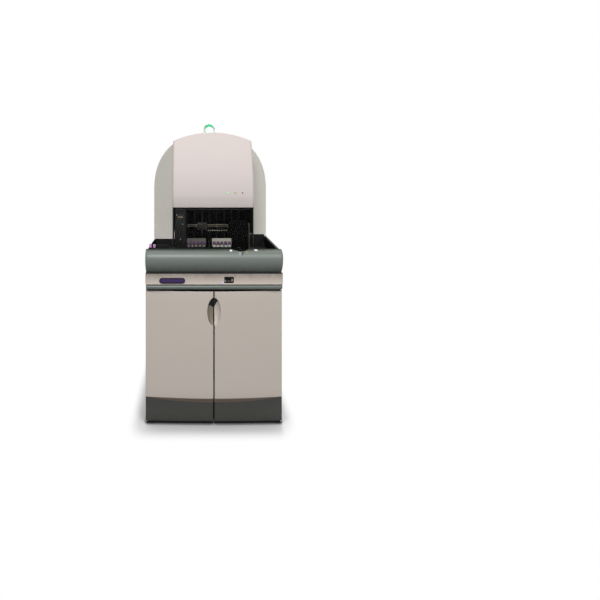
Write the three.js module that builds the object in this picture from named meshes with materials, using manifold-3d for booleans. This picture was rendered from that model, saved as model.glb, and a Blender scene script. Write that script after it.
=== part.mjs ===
// Hematology analyzer on its floor-standing cabinet.
// Millimetres. X runs across the front, Y from front to back, Z up from the floor.
// The origin is on the floor, midway across the width and midway through the depth.

import * as THREE from 'three';
import { mergeVertices } from 'three/addons/utils/BufferGeometryUtils.js';
import Module from 'manifold-3d';

const wasm = await Module();
wasm.setup();

// Driving sizes of the whole machine
const width = 762;
const depth = 813;
const standHeight = 757;
const seam = 0.3;
const cutOverrun = 5;

// Planes that the sub-assemblies share
const noseReach = 40;
const frontPlane = -depth / 2 + noseReach;
const backPlane = depth / 2;
const halfWidth = width / 2;

// Levelling feet
const footHeight = 15;
const footPadRadius = 24;
const footPadHeight = 6;
const footStemRadius = 6;
const footInsetX = 76;
const footInsetFront = 96;
const footInsetBack = 60;

// Cabinet panels
const sideInset = 3;
const sideThickness = 18;
const boardThickness = 18;
const shelfThickness = 16;
const shelfHeight = 400;
const shelfSetback = 88;
const topThickness = 12;
const sideSetback = 28.5;
const rearInset = 6.5;

// Cabinet doors
const doorThickness = 21.5;
const doorBow = 18;
const doorBottom = 150;
const doorTopGap = 1.3;
const doorSplit = 7;
const edgeRound = 4;
const undercutDrop = 29;
const kickBow = 5;
const kickBottom = 15;
const scoopWidth = 75;
const scoopHeight = 156;
const scoopDepth = 24;
const scoopDrop = 113.7;

// Door pivots
const pivotRadius = 4;
const pivotInsetX = 12;
const pivotInsetY = 11;
const pivotBite = 24;
const pivotPlateWidth = 40;
const pivotPlateDepth = 64;
const pivotPlateThickness = 8;
const pivotPlateSetback = 3;

// Magnetic catch
const catchWidth = 80;
const catchDepth = 22;
const catchHeight = 22;

// Reagent and air supply
const tankGap = 20;
const diluentWidth = 280;
const diluentDepth = 350;
const diluentHeight = 290;
const tankCapRadius = 26;
const tankCapHeight = 16;
const wasteWidth = 230;
const wasteDepth = 300;
const wasteHeight = 270;
const lyseWidth = 170;
const lyseDepth = 220;
const lyseHeight = 210;
const airWidth = 300;
const airDepth = 330;
const airHeight = 220;

// Front trim bar and the band over it
const barHeight = 25;
const barReach = 35;
const barDepth = 70;
const barEndRound = 12;
const barInset = 5;
const bandHeight = 62;
const bandReach = 25;
const bandInset = 2;
const bandEdgeRound = 5;
const baseInset = 3;

// Name plate, switch recess and power light on the band
const plateWidth = 143;
const plateHeight = 33;
const plateThickness = 2;
const plateOffset = 231;
const plateLift = 21.9;
const recessWidth = 53;
const recessHeight = 35;
const recessDepth = 26;
const recessOffset = 82;
const fittingLift = 26.4;
const rockerWidth = 32;
const rockerHeight = 22;
const rockerThickness = 8;
const rockerKeel = 1.5;
const lightRadius = 3.5;
const lightOffset = 45;
const lightLift = 8.9;
const lightReach = 2.5;

// Bumper and tray
const bumperGap = 3.4;
const bumperHeight = 122;
const bumperInset = 1;
const bumperBack = 20;
const bumperRimDepth = 12;
const bumperFall = 45;
const bumperUnder = 28;
const bumperEndRound = 18;
const trayDepth = 40;
const deckThickness = 6;
const trayWidth = 138.5;
const shellInset = 8;
const leftRimWidth = 5;
const rightRimWidth = 12;
const rimDrop = 70;
const rightRimRise = 25;
const skinThickness = 5;

// Single-tube station
const turretRadius = 44;
const turretClearance = 3;
const turretInset = 83.5;
const turretY = 30;
const turretHeight = 40;
const wellRadius = 7.5;
const wellDepth = 32;
const wellShare = 0.682;
const stationWidth = 111;
const stationDepth = 63;
const stationGap = 3;
const stationHeight = 194;

// Arched rear housing
const archPlane = 320;
const archFaceThickness = 6;
const archStraight = 370;
const archRise = 380;
const archPower = 2.3;
const archSegments = 28;
const backWallDrop = 21;

// Hood and smoked window
const hoodFront = 30;
const hoodLift = 273;
const hoodChin = 53;
const hoodChamfer = 12;
const hoodBrow = 342;
const hoodArc = 52;
const hoodLean = 109;
const hoodSteps = 6;
const leanPower = 1.9;
const hoodWall = 4;
const hoodCorner = 15;
const hoodRoofRise = 26;
const hoodBackGap = 13;
const windowGap = 6;
const windowThickness = 4;
const windowInset = 0.5;
const windowReturn = 34;
const rackGateHeight = 115;
const windowNotchHeight = 34;
const statusRadius = 4.5;
const statusReach = 1.5;
const statusLift = 31;
const statusFirst = 82;
const statusPitch = 42;

// Hood hinge under the crown
const hingeDrop = 11.2;
const hingeSetback = 1;
const knuckleRadius = 4.2;
const hingePinRadius = 2;
const knuckleHalf = 20;
const leafWidth = 29;
const leafHeight = 36;
const leafThickness = 3;

// Sample bay
const bayWallInset = 3;
const columnWidth = 67;
const columnInset = 13.5;
const columnDepth = 258;
const columnHeight = 265;
const railLift = 155;
const railSize = 16;
const railY = 150;
const postWidth = 8;
const postDepth = 30;
const carriageWidth = 60;
const carriageDepth = 24;
const carriageHeight = 44;
const carriageOffset = 94;
const probeRadius = 1.6;
const probeTipLift = 106;
const probeLength = 144;
const probeHeadSize = 16;
const probeHeadDrop = 12;

// Modules on the bay wall, behind the hood
const opticsWidth = 170;
const opticsDepth = 150;
const opticsHeight = 120;
const pumpWidth = 150;
const pumpDepth = 120;
const pumpHeight = 190;
const moduleLift = 320;
const moduleOffset = 20;

// Tube cassettes
const cassetteWidth = 112;
const cassetteDepth = 26;
const cassetteWall = 2;
const cassetteFloor = 6;
const cassetteBack = 91;
const cassetteFront = 33;
const tubePitch = 22;
const tubeRadius = 6.5;
const tubeSink = 0.5;
const capRadius = 8.2;
const capHeight = 18;
const tubeTop = 74;
const trayTubeTop = 62;
const trayBack = 60;
const cassetteCount = 5;
const bayCassetteY = 62;
const trayCassetteY = 37;
const cassetteGap = 1.5;
const cassetteSetback = 43.5;

// Power and control inside the arched housing
const supplyWidth = 300;
const supplyDepth = 220;
const supplyHeight = 160;
const cageWidth = 320;
const cageDepth = 260;
const cageHeight = 240;
const cageLift = 210;

// Status beacon on the crown
const beaconY = 400;
const beaconRadius = 39;
const beaconBaseHeight = 10;
const beaconHeight = 77;
const beaconWall = 3;

// Levels stacked up from the floor
const barBottom = standHeight + seam;
const barTop = barBottom + barHeight;
const bandBottom = barTop + seam;
const bandTop = bandBottom + bandHeight;
const fittingHeight = bandBottom + fittingLift;
const plateMiddle = bandBottom + plateLift;
const lightHeight = bandBottom + lightLift;
const bumperBottom = bandTop + bumperGap;
const bumperTop = bumperBottom + bumperHeight;
const deckHeight = bumperTop - trayDepth;
const archSpring = deckHeight + archStraight;
const crownHeight = archSpring + archRise;
const windowBottom = bumperTop + windowGap;
const rackGate = deckHeight + rackGateHeight;
const hoodBottom = deckHeight + hoodLift;
const hoodCrease = hoodBottom + hoodChin;
const hoodShoulder = hoodCrease + hoodBrow;
const hoodCrown = hoodShoulder + hoodArc;
const statusHeight = hoodCrease + statusLift;
const railHeight = deckHeight + railLift;
const probeTip = deckHeight + probeTipLift;
const moduleBottom = deckHeight + moduleLift;
const cageBottom = deckHeight + cageLift;
const beaconTop = crownHeight + beaconHeight;

// Half widths and places worked inwards from the sides
const bandHalfWidth = halfWidth - bandInset;
const bumperHalfWidth = halfWidth - bumperInset;
const shellHalfWidth = halfWidth - shellInset;
const baseHalfWidth = shellHalfWidth - baseInset;
const hoodHalfWidth = shellHalfWidth - trayWidth;
const turretX = hoodHalfWidth - turretInset;
const columnX = -hoodHalfWidth + columnInset;
const columnRight = columnX + columnWidth;
const leftCassetteX = columnRight + cassetteGap + cassetteWidth / 2;
const rightCassetteX = turretX - cassetteSetback - cassetteWidth / 2;
const carriageX = columnRight + carriageOffset;

// Finishes
const finish = (color, roughness, metalness = 0) =>
  new THREE.MeshStandardMaterial({ color, roughness, metalness });
const warmWhite = finish(0xd9cfcb, 0.45);
const doorBeige = finish(0xbab1a9, 0.55);
const coolGrey = finish(0xbbb6b0, 0.55);
const slateGreen = finish(0x727772, 0.5);
const kickGrey = finish(0x43443f, 0.6);
const baySatin = finish(0x141414, 0.45);
const boardGrey = finish(0xb3aea8, 0.6);
const steel = finish(0xb9bcbf, 0.3, 0.9);
const rubber = finish(0x1b1b1b, 0.85);
const smoke = finish(0x1b1c1e, 0.1);
const platePlum = finish(0x3a2f4d, 0.35);
const tankWhite = finish(0xe3e4e0, 0.5);
const wasteAmber = finish(0xc9a94d, 0.5);
const moduleGrey = finish(0x8b9094, 0.5);
const boardGreen = finish(0x2c5a3c, 0.6);
const cassetteGrey = finish(0xc3c3c1, 0.5);
const lampGreen = finish(0x52d86a, 0.3);
const lampAmber = finish(0xb08a4a, 0.3);
const lampRed = finish(0x6f2f2f, 0.3);
const lampBlue = finish(0xb8c8ff, 0.3);
const beaconClear = finish(0xd7ece0, 0.2);

const machine = new THREE.Group();
machine.name = 'hematology_analyzer';

// Shape helpers

function addPiece(name, geometry, material) {
  const mesh = new THREE.Mesh(geometry, material);
  mesh.name = name;
  machine.add(mesh);
  return mesh;
}

function boxGeometry([x0, x1], [y0, y1], [z0, z1]) {
  const geometry = new THREE.BoxGeometry(x1 - x0, y1 - y0, z1 - z0);
  geometry.translate((x0 + x1) / 2, (y0 + y1) / 2, (z0 + z1) / 2);
  return geometry;
}

function positionsOnly(geometry) {
  const bare = new THREE.BufferGeometry();
  bare.setAttribute('position', geometry.getAttribute('position').clone());
  if (geometry.index) bare.setIndex(geometry.index.clone());
  return mergeVertices(bare);
}

function toSolid(geometry) {
  const bare = positionsOnly(geometry);
  return new wasm.Manifold(new wasm.Mesh({
    numProp: 3,
    vertProperties: new Float32Array(bare.getAttribute('position').array),
    triVerts: new Uint32Array(bare.index.array),
  }));
}

function toGeometry(solid) {
  const mesh = solid.getMesh();
  const geometry = new THREE.BufferGeometry();
  geometry.setAttribute('position', new THREE.BufferAttribute(new Float32Array(mesh.vertProperties), 3));
  geometry.setIndex(new THREE.BufferAttribute(new Uint32Array(mesh.triVerts), 1));
  return geometry;
}

function cut(geometry, ...tools) {
  return toGeometry(tools.reduce((body, tool) => body.subtract(toSolid(tool)), toSolid(geometry)));
}

function join(geometry, ...others) {
  return toGeometry(others.reduce((body, other) => body.add(toSolid(other)), toSolid(geometry)));
}

function common(geometry, other) {
  return toGeometry(toSolid(geometry).intersect(toSolid(other)));
}

function signedVolume(positions, index) {
  const a = new THREE.Vector3();
  const b = new THREE.Vector3();
  const c = new THREE.Vector3();
  let total = 0;
  for (let i = 0; i < index.length; i += 3) {
    a.fromArray(positions, 3 * index[i]);
    b.fromArray(positions, 3 * index[i + 1]);
    c.fromArray(positions, 3 * index[i + 2]);
    total += a.dot(b.cross(c)) / 6;
  }
  return total;
}

// A closed skin over rings that each hold the same number of points.
function loft(rings, flatten) {
  const count = rings[0].length;
  const positions = rings.flat().flatMap((point) => [point.x, point.y, point.z]);
  const index = [];
  for (let ring = 0; ring + 1 < rings.length; ring += 1) {
    for (let side = 0; side < count; side += 1) {
      const next = (side + 1) % count;
      const a = ring * count + side;
      const b = ring * count + next;
      index.push(a, b, b + count, a, b + count, a + count);
    }
  }
  const last = (rings.length - 1) * count;
  const nearCap = THREE.ShapeUtils.triangulateShape(rings[0].map(flatten), []);
  const farCap = THREE.ShapeUtils.triangulateShape(rings[rings.length - 1].map(flatten), []);
  nearCap.forEach(([a, b, c]) => index.push(a, b, c));
  farCap.forEach(([a, b, c]) => index.push(last + c, last + b, last + a));
  const faces = matchCaps(index, nearCap.length + farCap.length, positions);
  const geometry = new THREE.BufferGeometry();
  geometry.setAttribute('position', new THREE.BufferAttribute(new Float32Array(positions), 3));
  geometry.setIndex(faces);
  return geometry;
}

// Turns the caps, and then the whole skin, so that every face points outwards.
function matchCaps(index, capFaces, positions) {
  const sideEnd = index.length - 3 * capFaces;
  const directed = new Set();
  for (let i = 0; i < sideEnd; i += 3) {
    directed.add(`${index[i]},${index[i + 1]}`);
    directed.add(`${index[i + 1]},${index[i + 2]}`);
    directed.add(`${index[i + 2]},${index[i]}`);
  }
  let clash = false;
  for (let i = sideEnd; i < index.length; i += 3) {
    const edges = [[0, 1], [1, 2], [2, 0]].map(([a, b]) => `${index[i + a]},${index[i + b]}`);
    if (edges.some((edge) => directed.has(edge))) clash = true;
  }
  const faces = index.slice();
  const flip = (from, to) => {
    for (let i = from; i < to; i += 3) [faces[i], faces[i + 2]] = [faces[i + 2], faces[i]];
  };
  if (clash) flip(sideEnd, faces.length);
  if (signedVolume(positions, faces) < 0) flip(0, faces.length);
  return faces;
}

const seenAlongX = (point) => new THREE.Vector2(point.y, point.z);
const seenAlongY = (point) => new THREE.Vector2(point.x, point.z);
const seenAlongZ = (point) => new THREE.Vector2(point.x, point.y);

// A profile of [y, z] points drawn along X.
function alongX(profile, stations) {
  const rings = stations.map((x) => profile(x).map(([y, z]) => new THREE.Vector3(x, y, z)));
  return loft(rings, seenAlongX);
}

// An outline of [x, z] points drawn from one Y to another.
function alongY(outline, y0, y1) {
  const rings = [y0, y1].map((y) => outline.map(([x, z]) => new THREE.Vector3(x, y, z)));
  return loft(rings, seenAlongY);
}

function arcPoints(centreA, centreB, radiusA, radiusB, from, to, steps) {
  return Array.from({ length: steps + 1 }, (_, i) => {
    const angle = from + ((to - from) * i) / steps;
    return [centreA + radiusA * Math.cos(angle), centreB + radiusB * Math.sin(angle)];
  });
}

function stationsBetween(x0, x1, count) {
  return Array.from({ length: count + 1 }, (_, i) => x0 + ((x1 - x0) * i) / count);
}

// A turned piece: a profile of [radius, z] points about a vertical axis.
function turned(profile, x, y, segments) {
  const points = profile.map(([radius, z]) => new THREE.Vector2(radius, z));
  const geometry = new THREE.LatheGeometry(points, segments);
  geometry.rotateX(Math.PI / 2);
  geometry.translate(x, y, 0);
  return geometry;
}

function cylinderZ(radius, z0, z1, x, y, segments = 20) {
  return turned([[0, z0], [radius, z0], [radius, z1], [0, z1]], x, y, segments);
}

function cylinderY(radius, y0, y1, x, z, segments = 16) {
  const geometry = new THREE.CylinderGeometry(radius, radius, y1 - y0, segments);
  geometry.translate(x, (y0 + y1) / 2, z);
  return geometry;
}

function cylinderX(radius, x0, x1, y, z, segments = 16) {
  const geometry = new THREE.CylinderGeometry(radius, radius, x1 - x0, segments);
  geometry.rotateZ(Math.PI / 2);
  geometry.translate((x0 + x1) / 2, y, z);
  return geometry;
}

// How far a bowed front stands out at x: the full bow in the middle and none at the sides.
const bowAt = (x, bow) => bow * (1 - (x / halfWidth) ** 2);

// Cabinet

const boardBottom = footHeight;
const sideFront = frontPlane + sideSetback;
const cabinetBack = backPlane - rearInset;
const sideOuter = halfWidth - sideInset;
const sideInner = sideOuter - sideThickness;
const bayHalf = sideInner - seam;
const topBottom = standHeight - topThickness;
const sideTop = topBottom - seam;
const floorTop = boardBottom + boardThickness;
const backFront = cabinetBack - boardThickness;
const shelfTop = shelfHeight + shelfThickness;
const footX = halfWidth - footInsetX;
const footFrontY = frontPlane + footInsetFront;
const footBackY = cabinetBack - footInsetBack;
const footSpots = [
  ['front_left_foot', -footX, footFrontY],
  ['front_right_foot', footX, footFrontY],
  ['rear_left_foot', -footX, footBackY],
  ['rear_right_foot', footX, footBackY],
];

function addFeet() {
  for (const [name, x, y] of footSpots) {
    const profile = [
      [0, 0], [footPadRadius, 0], [footPadRadius, footPadHeight],
      [footStemRadius, footPadHeight], [footStemRadius, floorTop], [0, floorTop],
    ];
    addPiece(name, turned(profile, x, y, 20), rubber);
  }
}

function addCabinet() {
  addPiece('cabinet_left_side', boxGeometry(
    [-sideOuter, -sideInner], [sideFront, cabinetBack], [boardBottom, sideTop],
  ), doorBeige);
  addPiece('cabinet_right_side', boxGeometry(
    [sideInner, sideOuter], [sideFront, cabinetBack], [boardBottom, sideTop],
  ), doorBeige);
  addPiece('cabinet_back', boxGeometry(
    [-bayHalf, bayHalf], [backFront, cabinetBack], [boardBottom, sideTop],
  ), boardGrey);
  const holes = footSpots.map(([, x, y]) => cylinderZ(
    footStemRadius + seam, boardBottom - cutOverrun, floorTop + cutOverrun, x, y,
  ));
  addPiece('cabinet_floor', cut(boxGeometry(
    [-bayHalf, bayHalf], [sideFront, backFront - seam], [boardBottom, floorTop],
  ), ...holes), boardGrey);
  addPiece('cabinet_shelf', boxGeometry(
    [-bayHalf, bayHalf], [sideFront + shelfSetback, backFront - seam], [shelfHeight, shelfTop],
  ), boardGrey);
}

// Doors turn on pins at their outer corners: one under the cabinet top, one on a plate at the foot.
const doorBack = frontPlane + doorThickness;
const doorTop = topBottom - doorTopGap;
const pivotX = halfWidth - pivotInsetX;
const pivotY = frontPlane + pivotInsetY;
const pivotPlateTop = kickBottom - seam;

function addPivots() {
  const top = boxGeometry(
    [-sideOuter, sideOuter], [frontPlane + sideInset, cabinetBack], [topBottom, standHeight],
  );
  const pins = [-pivotX, pivotX].map((x) => cylinderZ(
    pivotRadius, doorTop - pivotBite, topBottom + topThickness / 2, x, pivotY,
  ));
  addPiece('cabinet_top', join(top, ...pins), boardGrey);
  for (const [name, side] of [['left_lower_pivot', -1], ['right_lower_pivot', 1]]) {
    const outer = side * sideOuter;
    const inner = side * (sideOuter - pivotPlateWidth);
    const plate = boxGeometry(
      [Math.min(outer, inner), Math.max(outer, inner)],
      [frontPlane + pivotPlateSetback, frontPlane + pivotPlateSetback + pivotPlateDepth],
      [pivotPlateTop - pivotPlateThickness, pivotPlateTop],
    );
    const pin = cylinderZ(
      pivotRadius, pivotPlateTop - pivotPlateThickness / 2, kickBottom + pivotBite, side * pivotX, pivotY,
    );
    addPiece(name, join(plate, pin), steel);
  }
}

function addCatch() {
  addPiece('door_catch', boxGeometry(
    [-catchWidth / 2, catchWidth / 2],
    [doorBack + seam, doorBack + seam + catchDepth],
    [topBottom - seam - catchHeight, topBottom - seam],
  ), baySatin);
}

function doorProfile(x) {
  const front = frontPlane - bowAt(x, doorBow);
  const foot = doorBottom - undercutDrop * (1 - (x / halfWidth) ** 2);
  return [
    [doorBack, foot + seam], [frontPlane - bowAt(x, kickBow), foot + seam], [front, doorBottom + seam],
    [front, doorTop - edgeRound], [front + edgeRound, doorTop], [doorBack, doorTop],
  ];
}

function kickProfile(x) {
  const front = frontPlane - bowAt(x, kickBow);
  const head = doorBottom - undercutDrop * (1 - (x / halfWidth) ** 2);
  return [[doorBack, kickBottom], [front, kickBottom], [front, head], [doorBack, head]];
}

function addDoors() {
  const scoop = new THREE.SphereGeometry(1, 24, 16);
  scoop.scale(scoopWidth / 2, scoopDepth, scoopHeight / 2);
  scoop.translate(0, frontPlane - doorBow, doorTop - scoopDrop);
  for (const [side, sign] of [['left', -1], ['right', 1]]) {
    const stations = stationsBetween(sign * halfWidth, (sign * doorSplit) / 2, 8);
    const topBore = cylinderZ(
      pivotRadius + seam, doorTop - pivotBite - seam, doorTop + cutOverrun, sign * pivotX, pivotY,
    );
    const footBore = cylinderZ(
      pivotRadius + seam, kickBottom - cutOverrun, kickBottom + pivotBite + seam, sign * pivotX, pivotY,
    );
    addPiece(`${side}_door`, cut(alongX(doorProfile, stations), scoop, topBore), doorBeige);
    addPiece(`${side}_kick_plate`, cut(alongX(kickProfile, stations), footBore), kickGrey);
  }
}

// A container whose screw cap stands on its shoulder.
function tank(x, y, z, sizeX, sizeY, sizeZ) {
  const body = boxGeometry([x, x + sizeX], [y, y + sizeY], [z, z + sizeZ]);
  const cap = cylinderZ(
    tankCapRadius, z + sizeZ - tankCapHeight, z + sizeZ + tankCapHeight, x + sizeX / 2, y + sizeY / 2, 16,
  );
  return join(body, cap);
}

function addSupplies() {
  const backLimit = backFront - tankGap;
  const floorSeat = floorTop + seam;
  const shelfSeat = shelfTop + seam;
  addPiece('diluent_container', tank(
    -bayHalf + tankGap, backLimit - diluentDepth, floorSeat, diluentWidth, diluentDepth, diluentHeight,
  ), tankWhite);
  addPiece('waste_container', tank(
    bayHalf - tankGap - wasteWidth, backLimit - wasteDepth, floorSeat, wasteWidth, wasteDepth, wasteHeight,
  ), wasteAmber);
  addPiece('lyse_container', tank(
    bayHalf - tankGap - lyseWidth, backLimit - lyseDepth, shelfSeat, lyseWidth, lyseDepth, lyseHeight,
  ), tankWhite);
  addPiece('air_supply', boxGeometry(
    [-bayHalf + tankGap, -bayHalf + tankGap + airWidth],
    [backLimit - airDepth, backLimit],
    [shelfSeat, shelfSeat + airHeight],
  ), moduleGrey);
}

// Front trim, band, bumper and tray

const barFront = frontPlane - barReach;
const barBack = barFront + barDepth;
const barHalfWidth = halfWidth - barInset;

function addTrimBar() {
  const round = barHeight / 2;
  const middle = barBottom + round;
  const profile = (x) => {
    const intoEnd = Math.max(0, Math.abs(x) - (barHalfWidth - barEndRound));
    const inset = barEndRound - Math.sqrt(Math.max(0, barEndRound ** 2 - intoEnd ** 2));
    const nose = arcPoints(
      barFront + round + inset, middle, round, round, -Math.PI / 2, (-3 * Math.PI) / 2, 8,
    );
    return [...nose, [barBack, barTop], [barBack, barBottom]];
  };
  const bend = barEndRound * Math.SQRT1_2;
  const straight = barHalfWidth - barEndRound;
  const stations = [
    -barHalfWidth, -straight - bend, -straight, straight, straight + bend, barHalfWidth,
  ];
  addPiece('trim_bar', alongX(profile, stations), slateGreen);
}

const bandFront = frontPlane - bandReach;

const rimBack = frontPlane + bumperBack - seam;

function addBand() {
  const profile = () => [
    [rimBack, bandBottom], [bandFront, bandBottom], [bandFront, bandTop - bandEdgeRound],
    [bandFront + bandEdgeRound, bandTop], [rimBack, bandTop],
  ];
  const recess = boxGeometry(
    [recessOffset - recessWidth / 2, recessOffset + recessWidth / 2],
    [bandFront - cutOverrun, bandFront + recessDepth],
    [fittingHeight - recessHeight / 2, fittingHeight + recessHeight / 2],
  );
  const band = alongX(profile, [-bandHalfWidth, bandHalfWidth]);
  addPiece('lower_front_band', cut(band, recess), warmWhite);
}

function addBandFittings() {
  const end = plateHeight / 2;
  const straight = plateWidth / 2 - end;
  const outline = [
    ...arcPoints(-plateOffset + straight, plateMiddle, end, end, -Math.PI / 2, Math.PI / 2, 8),
    ...arcPoints(-plateOffset - straight, plateMiddle, end, end, Math.PI / 2, (3 * Math.PI) / 2, 8),
  ];
  const plateBack = bandFront - seam;
  addPiece('name_plate', alongY(outline, plateBack - plateThickness, plateBack), platePlum);
  const light = cylinderY(lightRadius, plateBack - lightReach, plateBack, lightOffset, lightHeight);
  addPiece('power_light', light, lampBlue);
}

// The rocker tips about a line along X through its own middle.
const rockerBack = bandFront + recessDepth - seam;
const rockerFront = rockerBack - rockerThickness;

function addRocker() {
  const half = rockerHeight / 2;
  const profile = () => [
    [rockerBack, fittingHeight - rockerKeel], [rockerFront + rockerThickness / 4, fittingHeight - half],
    [rockerFront + rockerThickness / 4, fittingHeight], [rockerFront, fittingHeight + half],
    [rockerBack, fittingHeight + rockerKeel],
  ];
  const stations = [recessOffset - rockerWidth / 2, recessOffset + rockerWidth / 2];
  addPiece('power_rocker', alongX(profile, stations), baySatin);
}

const noseY = frontPlane - noseReach;
const stationCentreY = frontPlane + turretY;
const deckFloor = deckHeight + seam;

function bumperProfile(x) {
  const intoEnd = Math.max(0, Math.abs(x) - (bumperHalfWidth - bumperEndRound));
  const inset = bumperEndRound - Math.sqrt(Math.max(0, bumperEndRound ** 2 - intoEnd ** 2));
  const nose = noseY + inset;
  const flatStart = rimBack - bumperRimDepth;
  const middle = bumperTop - bumperFall;
  const upper = arcPoints(flatStart, middle, flatStart - nose, bumperFall, Math.PI / 2, Math.PI, 8);
  const drop = middle - bumperBottom;
  const lower = [0.35, 0.6, 0.8, 0.95].map(
    (share) => [nose + bumperUnder * share ** 2, middle - drop * share],
  );
  const foot = nose + bumperUnder + edgeRound;
  return [[rimBack, bumperTop], ...upper, ...lower, [foot, bumperBottom], [rimBack, bumperBottom]];
}

function addBumper() {
  const straight = bumperHalfWidth - bumperEndRound;
  const turns = [1, 0.9, 0.7, 0.4, 0].map((share) => straight + bumperEndRound * share);
  const stations = [...turns.map((x) => -x), ...turns.slice().reverse()];
  const pocket = cylinderZ(
    turretRadius + turretClearance, deckHeight, bumperTop + cutOverrun, turretX, stationCentreY, 40,
  );
  addPiece('front_bumper', cut(alongX(bumperProfile, stations), pocket), slateGreen);
}

const archY = frontPlane + archPlane;
const archBack = archY + archFaceThickness;
const deckFront = rimBack + seam;
const rimTop = bumperTop;
const rimBottom = rimTop - rimDrop;
const baseTop = barTop;

function addTray() {
  const baseFront = barBack + seam;
  addPiece('chassis_base', boxGeometry(
    [-baseHalfWidth, baseHalfWidth], [baseFront, cabinetBack], [standHeight + seam, baseTop],
  ), boardGrey);
  const leftInner = -shellHalfWidth + leftRimWidth;
  const rightInner = shellHalfWidth - rightRimWidth;
  addPiece('tray_deck', boxGeometry(
    [leftInner + seam, rightInner - seam], [deckFront, archY - seam],
    [deckHeight - deckThickness, deckHeight],
  ), baySatin);
  addPiece('left_tray_rim', boxGeometry(
    [-shellHalfWidth, leftInner], [deckFront, archY - seam], [rimBottom, rimTop],
  ), slateGreen);
  const rightRim = [
    [deckFront, rimBottom], [deckFront, rimTop],
    [archY - seam, rimTop + rightRimRise], [archY - seam, rimBottom],
  ];
  addPiece('right_tray_rim', alongX(() => rightRim, [rightInner, shellHalfWidth]), slateGreen);
}

// Single-tube station: a round turret in a cut-out of the bumper, and the box behind it.
function addTubeStation() {
  const body = cylinderZ(turretRadius, deckFloor, deckHeight + turretHeight, turretX, stationCentreY, 36);
  const top = deckHeight + turretHeight;
  const wells = [-1, 1].map((side) => stationCentreY + side * turretRadius * wellShare).map((y) => cylinderZ(
    wellRadius, top - wellDepth, top + cutOverrun, turretX, y, 14,
  ));
  addPiece('tube_turret', cut(body, ...wells), baySatin);
  const housingFront = stationCentreY + turretRadius + stationGap;
  addPiece('station_housing', boxGeometry(
    [turretX - stationWidth / 2, turretX + stationWidth / 2],
    [housingFront, housingFront + stationDepth],
    [deckFloor, deckHeight + stationHeight],
  ), baySatin);
}

// Arched rear housing

// Half a squared-off ellipse over straight sides.
function archOutline(inset, bottom) {
  const half = shellHalfWidth - inset;
  const rise = crownHeight - archSpring - inset;
  const full = (share) => Math.sign(share) * Math.abs(share) ** (2 / archPower);
  const top = arcPoints(0, 0, 1, 1, 0, Math.PI, archSegments);
  const curve = top.map(([x, z]) => [half * full(x), archSpring + rise * full(z)]);
  return [[half, bottom], ...curve, [-half, bottom]];
}

// A side cover in one piece: low under the tray, full height behind the arch face.
function sideCover(sign) {
  const outer = sign * shellHalfWidth;
  const inner = sign * (shellHalfWidth - skinThickness);
  const step = archBack + seam;
  const outline = [
    [deckFront, barTop + seam], [cabinetBack, barTop + seam], [cabinetBack, archSpring],
    [step, archSpring], [step, rimBottom - seam], [deckFront, rimBottom - seam],
  ];
  return alongX(() => outline, [Math.min(outer, inner), Math.max(outer, inner)]);
}

function addArchedHousing() {
  addPiece('arch_face', alongY(archOutline(0, deckHeight + seam), archY, archBack), coolGrey);
  addPiece('left_side_cover', sideCover(-1), coolGrey);
  addPiece('right_side_cover', sideCover(1), coolGrey);
  const outer = archOutline(0, archSpring + seam).slice(1, -1);
  const inner = archOutline(skinThickness, archSpring + seam).slice(1, -1).reverse();
  const vault = [...outer, ...inner].map(([x, z]) => [x, Math.max(z, archSpring + seam)]);
  addPiece('vault_cover', alongY(vault, archBack + seam, cabinetBack), coolGrey);
  addPiece('rear_cover', alongY(archOutline(0, barTop + seam), cabinetBack + seam, backPlane), coolGrey);
}

function addSupplyUnits() {
  const seat = baseTop + seam;
  addPiece('power_supply', boxGeometry(
    [-supplyWidth / 2, supplyWidth / 2], [cabinetBack - seam - supplyDepth, cabinetBack - seam],
    [seat, seat + supplyHeight],
  ), moduleGrey);
  addPiece('board_cage', boxGeometry(
    [-cageWidth / 2, cageWidth / 2], [archBack + seam, archBack + seam + cageDepth],
    [cageBottom, cageBottom + cageHeight],
  ), boardGreen);
}

// Hood

const hoodFace = frontPlane + hoodFront;
const hoodEnd = archY - hoodBackGap;
const roofSlope = hoodRoofRise / (hoodEnd - hoodFace - hoodLean);
const sagitta = hoodCrown - hoodShoulder;
const roofRadius = (hoodHalfWidth ** 2 + sagitta ** 2) / (2 * sagitta);

// Front of the hood at height z: chamfered under the crease, leaning back above it.
function hoodFrontAt(z) {
  if (z < hoodCrease) return hoodFace + (hoodChamfer * (hoodCrease - z)) / (hoodCrease - hoodBottom);
  return hoodFace + hoodLean * ((z - hoodCrease) / (hoodCrown - hoodCrease)) ** leanPower;
}

// The same front as the flat steps between the hood's rings give it.
function hoodSkinAt(z) {
  const step = (hoodCrown - hoodCrease) / hoodSteps;
  const low = hoodCrease + Math.floor((z - hoodCrease) / step) * step;
  const share = (z - low) / step;
  return hoodFrontAt(low) * (1 - share) + hoodFrontAt(low + step) * share;
}

// Roof height at x and y: an arc across the width that rises towards the back.
function roofAt(x, y) {
  const arc = hoodCrown - roofRadius + Math.sqrt(roofRadius ** 2 - x ** 2);
  return arc + roofSlope * (y - hoodFace - hoodLean);
}

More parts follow.
